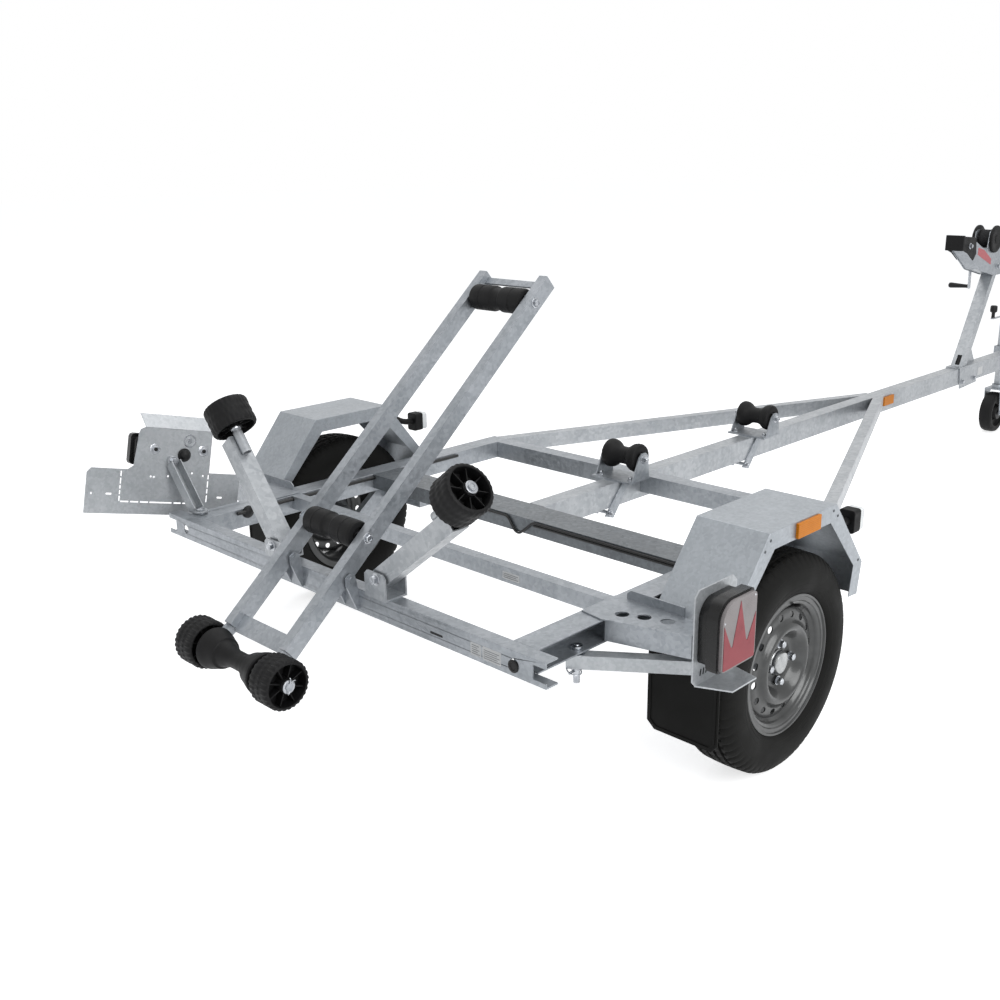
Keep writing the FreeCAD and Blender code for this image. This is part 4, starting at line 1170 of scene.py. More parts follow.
@dataclass
class RibbedWheel:
    """A moulded roller wheel: a lugged tread, open ends with eight thin ribs, and a steel bush."""

    centre: Place
    axis: Place
    half: float = 40.0
    radius: float = 64.0
    lugs: int = 28
    lug_depth: float = 2.6
    bore: float = 10.05
    hub: float = 19.0
    inner: float = 53.0
    web: float = 6.0
    ribs: int = 8

    def draw(self, draft: Draft) -> None:
        """Add the wheel's rubber to a drawing.

        Args:
            draft: The drawing that the wheel is added to.
        """
        place = turned_to(self.centre, self.axis)
        half, count = self.half, self.lugs * 4
        across = [(-half + 2, 0.92), (-half + 7, 1.0), (-half + 22, 1.0), (-half + 24, 0.35), (-6, 0.35),
                  (-4, 1.0), (4, 1.0), (6, 0.35), (half - 24, 0.35), (half - 22, 1.0), (half - 7, 1.0),
                  (half - 2, 0.92)]           # where along the wheel, and the share of the lugs' height
        section = [(half - 2, self.inner), (half, self.inner + 1.5), (half, self.radius - 7)]
        tail = [(-half, self.radius - 7), (-half, self.inner + 1.5), (-half + 2, self.inner)]
        cup = [(-self.web, self.inner - 2), (-self.web, self.hub), (-half + 4, self.hub - 1),
               (-half + 4, self.bore), (half - 4, self.bore), (half - 4, self.hub - 1), (self.web, self.hub),
               (self.web, self.inner - 2)]
        rings = []
        for i in range(count):
            turn = 2 * math.pi * i / count
            ring = [polar(r, turn, a) for a, r in section]
            for a, share in reversed(across):
                shift = 2 if abs(a) < 12 else 0         # the middle row's lugs stand between the others
                high = (i + shift) % 4 in (0, 1)
                lift = self.lug_depth * (share if high else 0.1)
                fall = 2.5 if abs(a) > half - 4 else 0.0
                ring.append(polar(self.radius - self.lug_depth + lift - fall, turn, a))
            rings.append(ring + [polar(r, turn, a) for a, r in tail + cup])
        draft.loft(rings, place, loop=True)
        for i in range(self.ribs):
            spot = place @ Matrix.Rotation(2 * math.pi * (i + 0.5) / self.ribs, 4, "Z")
            for end in (1, -1):
                low, high = sorted((end * (self.web - 1), end * (half - 9)))
                draft.block((self.hub - 2, self.inner + 1), (-1.1, 1.1), (low, high), spot)

    def bush(self, draft: Draft, reach: float) -> None:
        """Add the steel bush's two ends.

        Args:
            draft: The drawing that they are added to.
            reach: How far the bush's ends are from the wheel's middle.
        """
        place = turned_to(self.centre, self.axis)
        for end in (1, -1):
            spot = place @ Matrix.Rotation(0 if end > 0 else math.pi, 4, "X")
            profile = [(reach - 12, 14.5), (reach - 1, 14.5), (reach, 13.8), (reach, 10.2),
                       (reach - 12, 10.2)]
            draft.lathe(profile, spot, 28, closed=True)


class Role(Enum):
    """Which way a plain roller's profile goes."""

    KEEL = "keel"
    CRADLE = "cradle"
    HOURGLASS = "hourglass"


@dataclass
class PlainRoller:
    """A roller that is turned in one piece: waisted for the keel, nearly straight in the cradle."""

    name: str
    body: str
    centre: Place
    role: Role
    node: str
    bore: float = 10.8

    def profile(self) -> list[Pair]:
        """Choose half of the roller's profile.

        Returns:
            Its (along, radius) points, from the middle outwards.
        """
        match self.role:
            case Role.KEEL:
                return [(0, 29), (10, 29.4), (18, 31), (27, 36), (34, 41.5), (41, 45.5), (50, 47.6),
                        (59, 47.6), (64.5, 45), (67.5, 40), (68, 36), (68, 22), (64, 21), (64, 15), (67, 14),
                        (67, self.bore)]
            case Role.CRADLE:
                return [(0, 32), (13, 32), (15, 33.2), (18, 36), (20.5, 36.5), (56, 36.5), (57, 35.3),
                        (60, 35.3), (61, 36.5), (90, 36.5), (94, 35.8), (97.3, 33), (98, 29), (98, 20),
                        (94, 19), (94, 14), (97, 13), (97, self.bore)]
            case Role.HOURGLASS:
                return [(0, 24), (24, 24.3), (36, 28), (52, 33), (60, 35.2), (61.3, 36.6), (62.4, 40.4),
                        (64.5, 41.3), (80, 45.6), (94, 50.6), (104, 53.6), (111, 54.9), (114.6, 53.4),
                        (116, 50), (116, 38), (112, 36), (112, 22), (115, 21), (115, self.bore)]

    def build(self) -> None:
        """Turn the roller's mirrored profile."""
        half = self.profile()
        whole = [(-a, r) for a, r in reversed(half[1:])] + half
        draft = Draft()
        draft.lathe(whole, turned_to(self.centre, (0, 1, 0)), 64, closed=True)
        Piece(self.name, [ROLLER], self.body, "black_rubber", [self.node], angle=32).make(draft)


@dataclass
class Cradle:
    """The tilting cradle's rollers, their bolts and the rear axle's wheels."""

    pivot: Pair = (-735.0, 516.0)
    tilt: float = 40.8
    top: Pair = (929.0, 14.0)
    middle: Pair = (112.0, 24.0)
    rear: Pair = (-305.0, 24.0)
    rear_wheel_at: float = 169.0
    rear_wheel_half: float = 37.5
    bar_out: float = 134.0
    washer_at: float = 208.0

    def spot(self, along: float, above: float, y: float = 0.0) -> Place:
        """The place of a point on the raised cradle.

        Args:
            along: Millimetres along the bars from the pivot.
            above: Millimetres above the pivot, square to the bars.
            y: Left of the centre line.

        Returns:
            The place on the trailer.
        """
        c, s = math.cos(math.radians(self.tilt)), math.sin(math.radians(self.tilt))
        return (self.pivot[0] + along * c - above * s, y, self.pivot[1] + along * s + above * c)

    def build(self) -> None:
        """Make the rollers, then the wheels, then the fasteners."""
        for name, body, at, role, node in (
            ("top_roller_rubber", "top_roller", self.top, Role.CRADLE, "cradle_roller_top"),
            ("middle_roller_rubber", "middle_roller", self.middle, Role.CRADLE, "cradle_roller_middle"),
            ("hourglass_roller", "rear_rollers", self.rear, Role.HOURGLASS, "rear_roller"),
        ):
            PlainRoller(name, body, self.spot(*at), role, node).build()
        wheels, bushes = Draft(), Draft()
        for side in Side:
            centre = self.spot(*self.rear, side * self.rear_wheel_at)
            wheel = RibbedWheel(centre, (0, side, 0), half=self.rear_wheel_half)
            wheel.draw(wheels)
            wheel.bush(bushes, self.rear_wheel_half + 1)
        Piece("rear_wheels_rubber", [ROLLER], "rear_rollers", "black_rubber", ["rear_roller_wheels"],
              angle=30).make(wheels)
        Piece("rear_wheel_bushes", [PLATED], "rear_rollers", "galvanised_steel").make(bushes)
        self.fasteners()

    def fasteners(self) -> None:
        """The roller bolts with their nuts, and the washers and split pins on the rear axle."""
        bolts = Draft()
        end = self.bar_out + 1
        for along, above in (self.top, self.middle):
            middle = turned_to(self.spot(along, above), (0, 1, 0))
            bolts.lathe([(-end, AXIS_R), (-end, 10), (end, 10), (end, AXIS_R)], middle, 24)
            for side in Side:
                place = turned_to(self.spot(along, above, side * self.bar_out), (0, side, 0))
                bolts.washer(place, 15, 1.6, 2, 0.6, 24)
                bolts.hexagon(place, 19, 2, 10, bore=6.5)
        Piece("cradle_roller_bolts", [PLATED], "cradle", "galvanised_steel", ["cradle_axles"]).make(bolts)
        pins = Draft()
        for side in Side:
            place = turned_to(self.spot(*self.rear, side * self.washer_at), (0, side, 0), (0.4, 0, 1))
            pins.washer(place, 17, 2, 2.6, 1)
            eye = [(3.2 * math.cos(t) - 15, 0, 3.2 * math.sin(t) + 5) for t in (0.6, 1.6, 2.6, 3.6, 4.6, 5.6)]
            for path in ([(12, 1.6, 5), (-11, 1.2, 5)] + eye, [(12, -1.6, 5), (17, -4, 6.5), (19, -8, 9)],
                         [(12, 1.6, 5), (18, 3, 5), (22, 4, 3)]):
                pins.tube(path, 1.3, 6, place)
        Piece("rear_axle_split_pins", [PLATED], "cradle", "galvanised_steel").make(pins)


@dataclass
class SideRoller:
    """A ribbed wheel on its leaning arm, with the fasteners at both of the arm's ends."""

    side: Side
    foot: float
    foot_height: float
    lean: float
    x: float = -693.0
    reach: float = 352.0
    offset: float = 36.0
    length: float = 300.0
    saddle_bolt: float = -28.0      # along the arm

    def axis(self) -> Vector:
        """The arm's direction, outwards and up."""
        a = math.radians(self.lean)
        return Vector((0, self.side * math.cos(a), math.sin(a)))

    def spot(self, along: float, above: float) -> Place:
        """Find a place on the leaning arm.

        Args:
            along: Millimetres along the arm from its foot.
            above: Millimetres above its inner face.

        Returns:
            The place on the trailer.
        """
        a = math.radians(self.lean)
        y = self.foot + along * math.cos(a) - above * math.sin(a)
        return (self.x, self.side * y, self.foot_height + along * math.sin(a) + above * math.cos(a))

    def build(self) -> None:
        """Make the wheel, its bush and the arm's fittings."""
        name = self.side.label
        body = name + "_side_roller"
        wheel = RibbedWheel(self.spot(self.reach, self.offset), tuple(self.axis()), lug_depth=1.5)
        rubber, bush = Draft(), Draft()
        wheel.draw(rubber)
        wheel.bush(bush, 41)
        Piece("side_wheel_rubber_" + name, [ROLLER], body, "black_rubber", ["side_roller_" + name],
              angle=30).make(rubber)
        Piece("side_wheel_bush_" + name, [PLATED], body, "galvanised_steel").make(bush)
        fittings = Piece("side_arm_fittings_" + name, [ZINC_TUBE, PLATED], "chassis", "galvanised_steel")
        fittings.make(self.fittings())

    def fittings(self) -> Draft:
        """Draw the sleeve that the wheel's axle sits in, its end ring, and the saddle's nuts.

        Returns:
            The fittings' drawing.
        """
        draft = Draft()
        sleeve = turned_to(self.spot(self.length - 62, self.offset), self.axis())
        draft.lathe([(0, 13.5), (66, 13.5), (66, 10.6), (0, 10.6)], sleeve, 28, closed=True)
        tip = turned_to(self.spot(self.reach + 41.3, self.offset), self.axis())
        draft.finish = 1
        draft.washer(tip, 16, 2, 2.4, 1)
        draft.lathe([(2, 10.1), (6, 10.1), (6.6, 9.5), (6.6, 6.5), (2, 6.5)], tip, 28, closed=True)
        for end in (1, -1):
            bolt = Vector(self.spot(self.saddle_bolt, 0)) + Vector((end * 35, 0, 0))
            draft.bolt(turned_to(bolt, (end, 0, 0)), 19, stud=6 if end > 0 else 0)
        return draft


@dataclass
class KeelRoller:
    """A waisted roller on its saddle, with the axle's nuts and the saddle's bolts."""

    end: End
    x: float
    z: float
    ear: float = 79.0
    clamp: Place = (-117, 36, 392)  # back from the roller, out, and up from the floor
    foot: Place = (-48, 62, 494)

    def build(self) -> None:
        """Make the roller and its fasteners."""
        name = self.end.value
        PlainRoller("keel_rubber_" + name, name + "_keel_roller", (self.x, 0, self.z), Role.KEEL,
                    "keel_roller_" + name).build()
        draft = Draft()
        for side in Side:
            draft.bolt(sideways(side, self.x, self.ear, self.z), 19, stud=5)
            back, out, up = self.clamp
            draft.bolt(sideways(side, self.x + back, out, up), 13, stud=3)
            back, out, up = self.foot
            draft.bolt(turned_to((self.x + back, side * out, up), (0, 0, 1)), 13, stud=3)
        Piece("keel_fasteners_" + name, [PLATED], "chassis", "galvanised_steel").make(draft)


# ---- lamps and light arms ----------------------------------------------------

# views that outlines are drawn in, with heights measured out of the surface
RIGHT_VIEW = Matrix(((1, 0, 0, 0), (0, 0, -1, 0), (0, 1, 0, 0), (0, 0, 0, 1)))      # x, z; heights along -y
REAR_VIEW = Matrix(((0, 0, -1, 0), (-1, 0, 0, 0), (0, 1, 0, 0), (0, 0, 0, 1)))      # -y, z; along -x
LEFT_VIEW = Matrix(((-1, 0, 0, 0), (0, 0, 1, 0), (0, 1, 0, 0), (0, 0, 0, 1)))       # -x, z; along +y
# the left board's frame: along it, out of its outer side, and up
BOARD_PLACE = (Matrix.Translation((-949.2, 856.1, 528.5)) @ Matrix.Rotation(math.radians(-5.6), 4, "Z")
               @ Matrix.Rotation(math.radians(-4.4), 4, "X") @ Matrix.Rotation(math.radians(13.5), 4, "Y"))


@dataclass
class RearLamp:
    """A cluster lamp: a black housing, its glossy flange and a lens with a red triangle between grey ones."""

    side: Side
    place: Matrix
    rear: float
    front: float
    low: float
    high: float
    face: float                     # the mounting face's height in the place's view
    depth: float = 66.0
    large_corner: float = 48.0
    small_corner: float = 11.0
    narrower: float = 8.0           # the housing behind the flange
    flange: Pair = (0.40, 0.82)     # its start and end, as shares of the depth
    lens_border: float = 5.0
    panel: float = 1.3              # how far the red panels go into the lens

    def outline(self, inset: float) -> list[Pair]:
        """Work out the lamp's outline with one large corner.

        Args:
            inset: How far it is moved in all round.

        Returns:
            The outline's points.
        """
        rear, front = self.rear + inset, self.front - inset
        low, high = self.low + inset, self.high - inset
        big = self.large_corner
        steps = 8
        turns = [math.radians(90 - 90 / steps * i) for i in range(steps + 1)]
        corner = [(rear + big * (1 - math.cos(t)), high - big * (1 - math.sin(t))) for t in turns]
        small = self.small_corner
        plain = [(rear, low + small), (rear + small * 0.3, low + small * 0.3), (rear + small, low),
                 (front - small, low), (front - small * 0.3, low + small * 0.3), (front, low + small),
                 (front, high - small), (front - small * 0.3, high - small * 0.3), (front - small, high)]
        return plain + corner

    def build(self) -> None:
        """Make the lamp."""
        start, end = (self.face + share * self.depth for share in self.flange)
        top = self.face + self.depth
        draft = Draft(self.place)
        draft.plate(self.outline(self.narrower), self.face, start + 1)
        draft.plate(self.outline(0), start, end)
        draft.plate(self.outline(1.5), end, end + 2)
        draft.finish = 2
        draft.plate(self.outline(self.lens_border), end, top - 1.2)
        self.coloured_panels(draft, top)
        draft.finish = 3
        for u, drop in ((self.rear + 12, self.large_corner), (self.front - 12, 14)):
            for v in (self.low + 14, self.high - drop):
                draft.rivet(Matrix.Translation((u, v, top - 1.2)), 2.6)
        name = self.side.label
        Piece("rear_lamp_" + name, [HOUSING, LENS_RED, LENS_GREY, PLATED], name + "_light", "black_plastic",
              ("lamp_" + name,), rounding=1.6).make(draft)

    def coloured_panels(self, draft: Draft, top: float) -> None:
        """Add the red panels on the lens: the lower half, the tall triangle and the strips beside it.

        Args:
            draft: The lamp's drawing.
            top: The height of the panels' faces.
        """
        border = self.lens_border + 4
        rear, front, low = self.rear + border, self.front - border, self.low + border
        width, height = front - rear, self.high - self.low
        middle, waist = (rear + front) / 2, self.low + height * 0.34
        strip, half = width * 0.24, width * 0.22
        draft.finish = 1
        panels = [
            rounded([(rear, low), (front, low), (front, waist), (rear, waist)], 4),
            [(middle - half, waist - 1), (middle + half, waist - 1), (middle, self.high - border - 2)],
            [(rear, waist - 1), (rear + strip, waist - 1), (rear, waist + height * 0.34)],
            [(front, waist + height * 0.34), (front - strip, waist - 1), (front, waist - 1)],
        ]
        for outline in panels:
            draft.plate(outline, top - self.panel, top)


@dataclass
class LightArms:
    """What is fixed to the arms of the two rear lights: bolts, gland, arm pins, and black plates of painted
    shade in the plate's lip slots.
    """

    bolts: tuple[Pair, ...] = ((202, 203), (359, 206))     # on the board, along and up
    ring: Pair = (313, 235)
    gland: Pair = (298, 190)
    strut_head: Pair = (258, 171)
    arm_pin: Pair = (-517.0, -702.0)
    arm_top: float = 420.0
    lynch_ring: Pair = (17.0, 384.0)                  # the pin's ring: its radius and height
    slots: tuple[float, ...] = (-430, -419, -408)     # in the lamp plate's lip, drawn as black plates that paint the slots' shade

    def build(self) -> None:
        """Make the fittings of both arms."""
        self.board_fittings()
        self.arm_fittings()

    def board_fittings(self) -> None:
        """On the board's inner side: nuts, the embossed ring, the gland and the strut's bolt."""
        inner = BOARD_PLACE @ RIGHT_VIEW
        draft = Draft(inner)
        for u, v in self.bolts:
            place = Matrix.Translation((u, v, 0))
            draft.lathe([(0, 17), (1.4, 17), (2, 16), (2, 7), (0, 7)], place, 32, closed=True)
            draft.hexagon(place, 17, 1.5, 8)
            draft.finish = 1
            draft.lathe([(1, AXIS_R), (1, 6.5), (9, 6), (9.6, 5), (9.6, AXIS_R)], place, 20)
            draft.finish = 0
        ring = Matrix.Translation((*self.ring, 0))
        draft.lathe([(0, 21), (1.2, 20), (1.2, 17), (0, 16)], ring, 40, closed=True)
        draft.lathe([(0, AXIS_R), (0, 9), (1.2, 8), (1.2, AXIS_R)], ring, 32)
        draft.bolt(Matrix.Translation((*self.strut_head, 14)), 17)
        Piece("board_fasteners", [PLATED, NYLON], "left_light", "galvanised_steel").make(draft)
        gland = Draft(inner)
        gland.lathe([(0, AXIS_R), (0, 21), (3, 21), (4, 17), (10, 16.5), (16, 13), (19, 7), (20, AXIS_R)],
                    Matrix.Translation((*self.gland, 0)), 32)
        Piece("lamp_gland", [NYLON], "left_light", "black_plastic").make(gland)

    def arm_fittings(self) -> None:
        """The right arm's pivot nut, lynch pin, and black plates on the slots in its plate's lip that paint
        their shade.
        """
        x, y = self.arm_pin
        draft = Draft()
        draft.bolt(turned_to((x, y, self.arm_top), (0, 0, 1)), 24, stud=6)
        radius, height = self.lynch_ring
        ring = [(x - 18 + u, y - 8 + v, height + 5 * v / radius) for u, v in circle(radius, 32)]
        draft.tube(ring, 1.6, 8, loop=True)
        draft.tube([(x - 30, y - 4, 379), (x + 26, y + 2, 379)], 3.4, 10)
        # thin black plates on the lip's slots: painted shade for the holes
        draft.finish = 1
        for along in self.slots:
            draft.plate(slot((along, 433), 17, 4.5, 80), 985.9, 986.4, RIGHT_VIEW)
        Piece("right_arm_pin_and_slot_shade", [PLATED, NYLON], "right_light", "galvanised_steel").make(draft)


# ---- winch, bow stop and jack ------------------------------------------------

@dataclass
class Winch:
    """The drum with its wound strap, the gear covers, the crank and the blank label on the cheek."""

    drum: Pair = (3345.0, 1095.0)
    crank: Pair = (3350.0, 1050.0)
    cheek_out: float = 36.0
    cover: Outline = ((-0.6, 20), (-0.6, 63.6), (4, 65), (10, 64.6), (12.8, 63.4), (14, 60), (14.2, 50),
                      (13.4, 44), (13.2, 22), (16, 20), (16.6, 12), (16.6, AXIS_R))
    grip: Outline = ((0, AXIS_R), (0, 8), (6, 9.5), (12, 8.6), (40, 10.2), (78, 12.8), (90, 13.4),
                     (98, 12), (101, 7), (102, AXIS_R))
    pad_bolt: Pair = (3060.0, 1080.0)
    cheek_bolt: Pair = (3420.0, 960.0)
    turns: int = 12                 # of the strap's edge that show as steps across the drum

    def build(self) -> None:
        """Make the winch's visible pieces."""
        self.drum_and_strap()
        self.covers()
        self.crank_arm()
        self.bow_pad()

    def drum_and_strap(self) -> None:
        """The spool's two flanges with the strap wound between them."""
        x, z = self.drum
        place = turned_to((x, 0, z), (0, 1, 0))
        draft = Draft()
        draft.lathe([(-27, 8.4), (-27, 48), (-26, 50), (-24, 50), (-23, 48), (-23, 30), (23, 30), (23, 48),
                     (24, 50), (26, 50), (27, 48), (27, 8.4)], place, 48, closed=True)
        draft.finish = 1
        steps = [(-22 + 44 * i / self.turns, 43.5 + 0.5 * (i % 2)) for i in range(self.turns + 1)]
        wound = [(-22, 29)] + steps + [(22, 29)]
        draft.lathe(wound, place, 48, closed=True)
        Piece("winch_spool", [NYLON, STRAP], "drum", "black_plastic", ("winch_drum",),
              rounding=0.6).make(draft)

    def covers(self) -> None:
        """Moulded covers over the gears, and the blank red label on the right cheek."""
        x, z = self.drum
        draft = Draft()
        for side in Side:
            draft.lathe(self.cover, sideways(side, x, self.cheek_out, z), 56)
        Piece("winch_gear_covers", [ROLLER], "chassis", "black_plastic", rounding=0.8).make(draft)
        label = Draft(RIGHT_VIEW)
        corners = rounded([(3166, 1032), (3334, 972), (3330, 1002), (3238, 1050), (3166, 1066)], 5)
        label.plate(corners, self.cheek_out - 0.1, self.cheek_out + 0.5)
        Piece("winch_label", [RED_LABEL], "chassis", "white_lens").make(label)

    def crank_arm(self) -> None:
        """A flat arm from the shaft's boss to a tapered grip."""
        x, z = self.crank
        draft = Draft()
        arm = rounded([(3353, 846), (3375, 846), (x + 12, z + 11), (x - 12, z + 11)], 8)
        draft.plate(arm, -74, -68, RIGHT_VIEW)
        boss = [(16, AXIS_R), (16, 8), (20, 8), (20, 13), (22, 14), (44, 14), (46, 12), (46, AXIS_R)]
        draft.lathe(boss, turned_to((x, 34, z), (0, 1, 0)), 28)
        draft.bolt(turned_to((x, 80, z), (0, 1, 0)), 17)
        draft.finish = 1
        draft.lathe(self.grip, turned_to((3364, 73, 858), (0, 1, 0)), 32)
        Piece("winch_handle", [PLATED, NYLON], "crank", "galvanised_steel", ("winch_crank",),
              rounding=0.8).make(draft)

    def bow_pad(self) -> None:
        """The rubber pad on its two black arms, bolted to the cheeks."""
        draft = Draft()
        draft.plate(rounded([(2972, -43), (2990, -43), (2990, 43), (2972, 43)], 4), 1062, 1132)
        arm = [(2988, 1068), (3046, 1066), (3046, 1110), (2988, 1124)]
        for inner in (20, -28):
            draft.plate(arm, inner, inner + 8, RIGHT_VIEW)
        bracket = rounded([(2988, 1062), (3040, 1046), (3108, 1008), (3140, 1040), (3122, 1116),
                           (2988, 1128)], 6)
        gap, thick = 0.2, 4
        for low in (self.cheek_out + gap, -self.cheek_out - gap - thick):
            draft.plate(bracket, low, low + thick, RIGHT_VIEW)
        Piece("bow_rubber", [ROLLER], "chassis", "black_rubber", ("bow_stop",), rounding=2.5).make(draft)
        bolts = Draft()
        for side in Side:
            for (x, z), out in ((self.pad_bolt, gap + thick), (self.cheek_bolt, 0)):
                bolts.bolt(sideways(side, x, self.cheek_out + out, z), 17)
        Piece("winch_fasteners", [PLATED], "chassis", "galvanised_steel").make(bolts)


@dataclass
class Jack:
    """The jockey wheel's tyre on its rim, its axle's nuts, and the mushroom knob on the lever."""

    x: float = 3995.0
    y: float = 112.0
    lever_top: float = 646.0
    reach: float = 175.0
    trail: float = 35.0
    fork_half: float = 44.0
    wheel_radius: float = 110.0
    tyre: Outline = ((-30, 78), (-34, 86), (-33.5, 98), (-29, 106), (-20, 109.4), (-8, 110), (8, 110),
                     (20, 109.4), (29, 106), (33.5, 98), (34, 86), (30, 78), (12, 75), (-12, 75))
    rim: Outline = ((-34, 8.4), (-34, 38), (-10, 46), (-10, 72), (-29, 79), (29, 79), (10, 72), (10, 46),
                    (34, 38), (34, 8.4))

    def build(self) -> None:
        """Make the wheel, the knob and the fasteners."""
        wheel = turned_to((self.x - self.trail, self.y, self.wheel_radius), (0, 1, 0))
        draft = Draft()
        draft.lathe(self.tyre, wheel, 56, closed=True)
        draft.finish = 1
        draft.lathe(self.rim, wheel, 48, closed=True)
        Piece("jockey_tyre", [ROLLER, NYLON], "jockey_wheel", "jockey_tyre", ("jack_wheel",),
              rounding=0.8).make(draft)
        knob = Draft()
        knob.lathe([(1, AXIS_R), (1, 10), (12, 8.6), (28, 9.2), (32, 15.5), (35, 18), (44, 18.6), (60, 17.8),
                    (64.6, 16.6), (66.4, 12), (66.8, AXIS_R)],
                   turned_to((self.x - self.reach, self.y, self.lever_top), (0, 0, 1)), 32)
        Piece("jack_knob", [NYLON], "chassis", "black_plastic", rounding=0.5).make(knob)
        nuts = Draft()
        for side in Side:
            end = (self.x - self.trail, self.y + side * self.fork_half, self.wheel_radius)
            nuts.bolt(turned_to(end, (0, side, 0)), 17)
        Piece("jockey_axle_nuts", [PLATED], "jack_caster", "galvanised_steel").make(nuts)


# ---- trim on the frame -------------------------------------------------------

@dataclass
class PositionLamps:
    """White lamps that stand forward of the fenders, each on a rubber arm from a base on the front slope."""

    base: Place = (230.3, 925.0, 589.4)
    lean: float = 50.8              # the slope's fall forward, in degrees
    head: Place = (372.0, 893.0, 565.0)
    head_half: Pair = (33.0, 24.0)     # up and across
    ends: Pair = (36.0, 58.0)          # of the housing and the lens, ahead of `head`

    def build(self) -> None:
        """Make the bases, the arms and the lamps' heads."""
        lean = math.radians(self.lean)
        draft = Draft()
        foot = turned_to(self.base, (math.sin(lean), 0, math.cos(lean)), (0, 1, 0))
        draft.plate(rounded([(-24, -27), (24, -27), (24, 27), (-24, 27)], 6), 0.3, 14, foot)
        x, y, z = self.base
        ahead, across, up = self.head
        bend = smooth_line([(x + 4, y, z + 4), (x + 45, y - 4, z + 14), (ahead - 45, across + 6, up + 10),
                            (ahead + 4, across, up)])
        draft.tube(bend, 11, 14)
        place = turned_to(self.head, (1, 0, 0))
        case_end, lens_end = self.ends
        draft.plate(self.head_outline(0, 10), 0, case_end, place)
        draft.finish = 1
        draft.plate(self.head_outline(2, 9), case_end - 0.5, lens_end, place)
        draft.mirrored()
        Piece("position_lamp_pair", [ROLLER, LENS_WHITE], "chassis", "white_lens", ("position_lamps",),
              rounding=2.2).make(draft)

    def head_outline(self, inset: float, corner: float) -> list[Pair]:
        """The head's rounded outline, moved in all round."""
        high, half = (size - inset for size in self.head_half)
        return rounded([(-high, -half), (high, -half), (high, half), (-high, half)], corner)


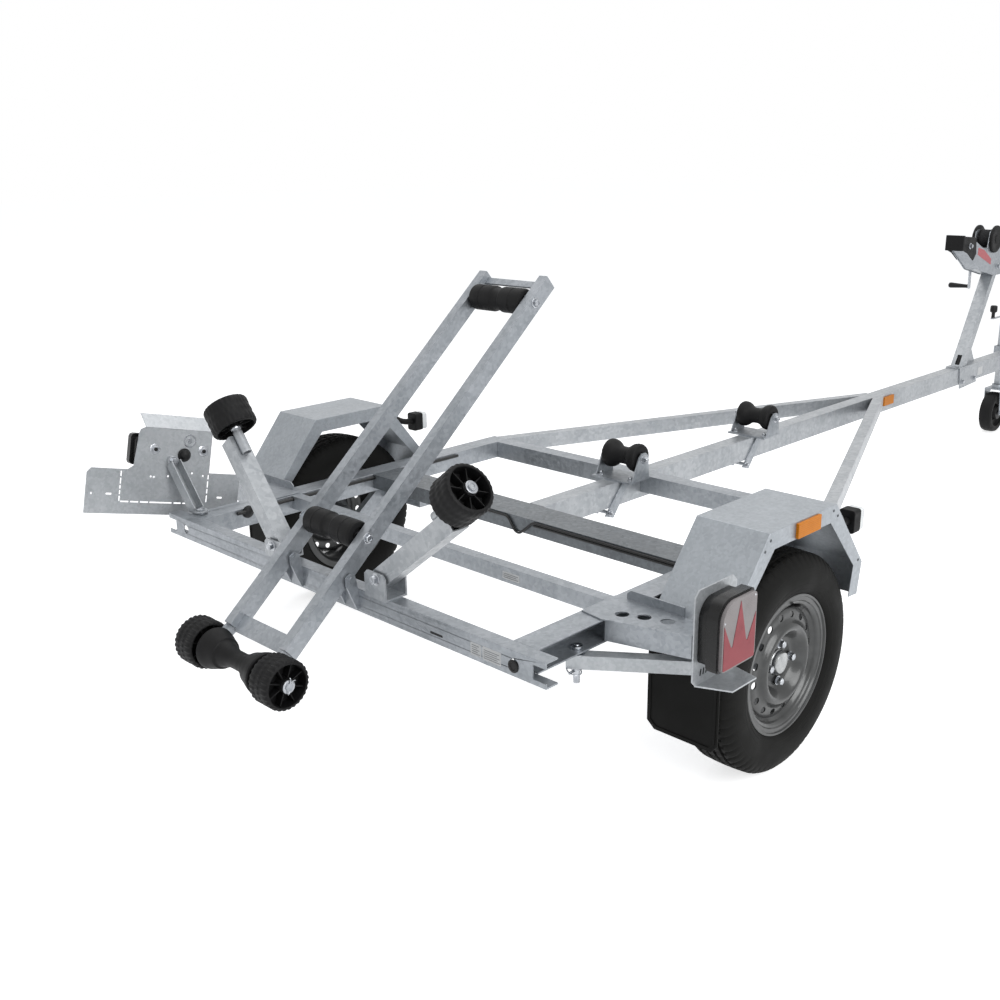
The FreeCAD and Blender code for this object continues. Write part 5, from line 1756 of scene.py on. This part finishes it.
@dataclass
class FrameTrim:
    """Blank stickers, grommets, bolts and rivets on the frame and the fenders."""

    rear_face: float = 713.0
    middle_face: float = 353.0
    flap_face: float = 322.0
    skirt: float = 976.0            # the fenders' outer face
    clamp_bolts: tuple[float, ...] = (3140.0, 3278.0)
    line: float = 5.0               # between the lines of print
    rivets: tuple[Pair, ...] = ((-150, 664), (-172, 642), (140, 668), (162, 650), (290, 498))

    def build(self) -> None:
        """Make the trim."""
        self.stickers()
        self.grommets()
        self.bolts()

    def stickers(self) -> None:
        """Plates of white vinyl with lines of unreadable grey print."""
        draft = Draft(REAR_VIEW)
        plates = (((552, 586), (437, 468), self.rear_face), ((591, 650), (436, 469), self.rear_face),
                  ((300, 362), (454, 475), self.middle_face))
        for (left, right), (low, high), face in plates:
            draft.finish = 0
            outline = rounded([(left, low), (right, low), (right, high), (left, high)], 3)
            draft.plate(outline, face - 0.1, face + 0.3)
            draft.finish = 1
            for i in range(int((high - low - 6) / self.line)):
                base, end = low + 4 + i * self.line, right - 4 - (7 * i) % 13
                draft.plate([(left + 4, base), (end, base), (end, base + 2), (left + 4, base + 2)],
                            face + 0.2, face + 0.4)
        Piece("frame_stickers", [LABEL, LABEL_INK], "chassis", "white_lens").make(draft)
        side = Draft(RIGHT_VIEW)
        side.plate(rounded([(3336, 424), (3392, 424), (3392, 462), (3336, 462)], 4), 29.9, 30.4)
        Piece("drawbar_sticker", [LABEL], "chassis", "white_lens").make(side)

    def grommets(self) -> None:
        """Black rubber in the beam's and rail's holes, and black plates in the beam's slot and the post's
        slot that paint their shade.
        """
        draft = Draft()
        draft.lathe([(-4, AXIS_R), (-4, 12.5), (0.2, 12.5), (0.2, 15.5), (2, 15.5), (3, 14), (3, 10),
                     (1.4, 9), (1.4, AXIS_R)], turned_to((-self.rear_face, -688, 450), (-1, 0, 0)), 28)
        # a thin black plate over the beam's slot: painted shade for the hole
        draft.plate(slot((436, 450), 44, 6), self.rear_face - 0.1, self.rear_face + 0.3, REAR_VIEW)
        draft.lathe([(0, AXIS_R), (0, 20), (5, 19), (11, 13), (14, 6), (15, AXIS_R)],
                    turned_to((-519, 649, 474), (0, -1, 0)), 28)
        Piece("frame_grommets_and_slot_shade", [NYLON], "chassis", "black_rubber").make(draft)
        rims = Draft(REAR_VIEW)
        rims.plate([(768, 436), (768, 198), (788, 181), (947, 181), (961, 198), (961, 368), (955, 368),
                    (955, 200), (944, 187), (791, 187), (774, 200), (774, 436)],
                   self.flap_face - 0.2, self.flap_face + 2)
        rims.mirrored()
        Piece("mudflap_rims", [FLAP], "chassis", "black_rubber", rounding=0.8).make(rims)
        # a black block inside the winch post, seen through its slot: painted shade
        lining = Draft(RIGHT_VIEW)
        lining.plate([(3152, 497), (3158, 497), (3188, 551), (3182, 551)], -22, 22)
        Piece("post_slot_painted_shade", [NYLON], "chassis", "black_plastic").make(lining)

    def bolts(self) -> None:
        """Bolts on the winch post's clamp, and rivets on the fenders' skirts."""
        draft = Draft()
        for side in Side:
            for x in self.clamp_bolts:
                draft.bolt(sideways(side, x, 35.5, 420), 17)
            draft.finish = 1
            for x, z in self.rivets:
                draft.rivet(sideways(side, x, self.skirt, z), 4)
            draft.finish = 0
        Piece("frame_bolts", [PLATED, CAST], "chassis", "galvanised_steel").make(draft)


def main() -> None:
    """Build the studio and each sub-assembly in order."""
    logging.basicConfig(level=logging.INFO, format="%(message)s")
    assemblies = [
        Studio(), CadDress(), RoadWheel(Side.RIGHT), RoadWheel(Side.LEFT), Cradle(),
        SideRoller(Side.LEFT, 225.0, 544.0, 51.0), SideRoller(Side.RIGHT, 258.0, 558.0, 38.0),
        KeelRoller(End.REAR, 537.0, 560.0), KeelRoller(End.FRONT, 1344.0, 556.0),
        RearLamp(Side.RIGHT, RIGHT_VIEW, -453.0, -314.0, 450.0, 618.0, 986.3),
        RearLamp(Side.LEFT, BOARD_PLACE @ LEFT_VIEW, -352.0, -134.0, 150.0, 246.0, 2.3, 54.0, 16.0),
        LightArms(), Winch(), Jack(), PositionLamps(), FrameTrim(),
    ]
    for assembly in assemblies:
        LOG.info("building %s", type(assembly).__name__)
        assembly.build()


if __name__ == "__main__":
    main()
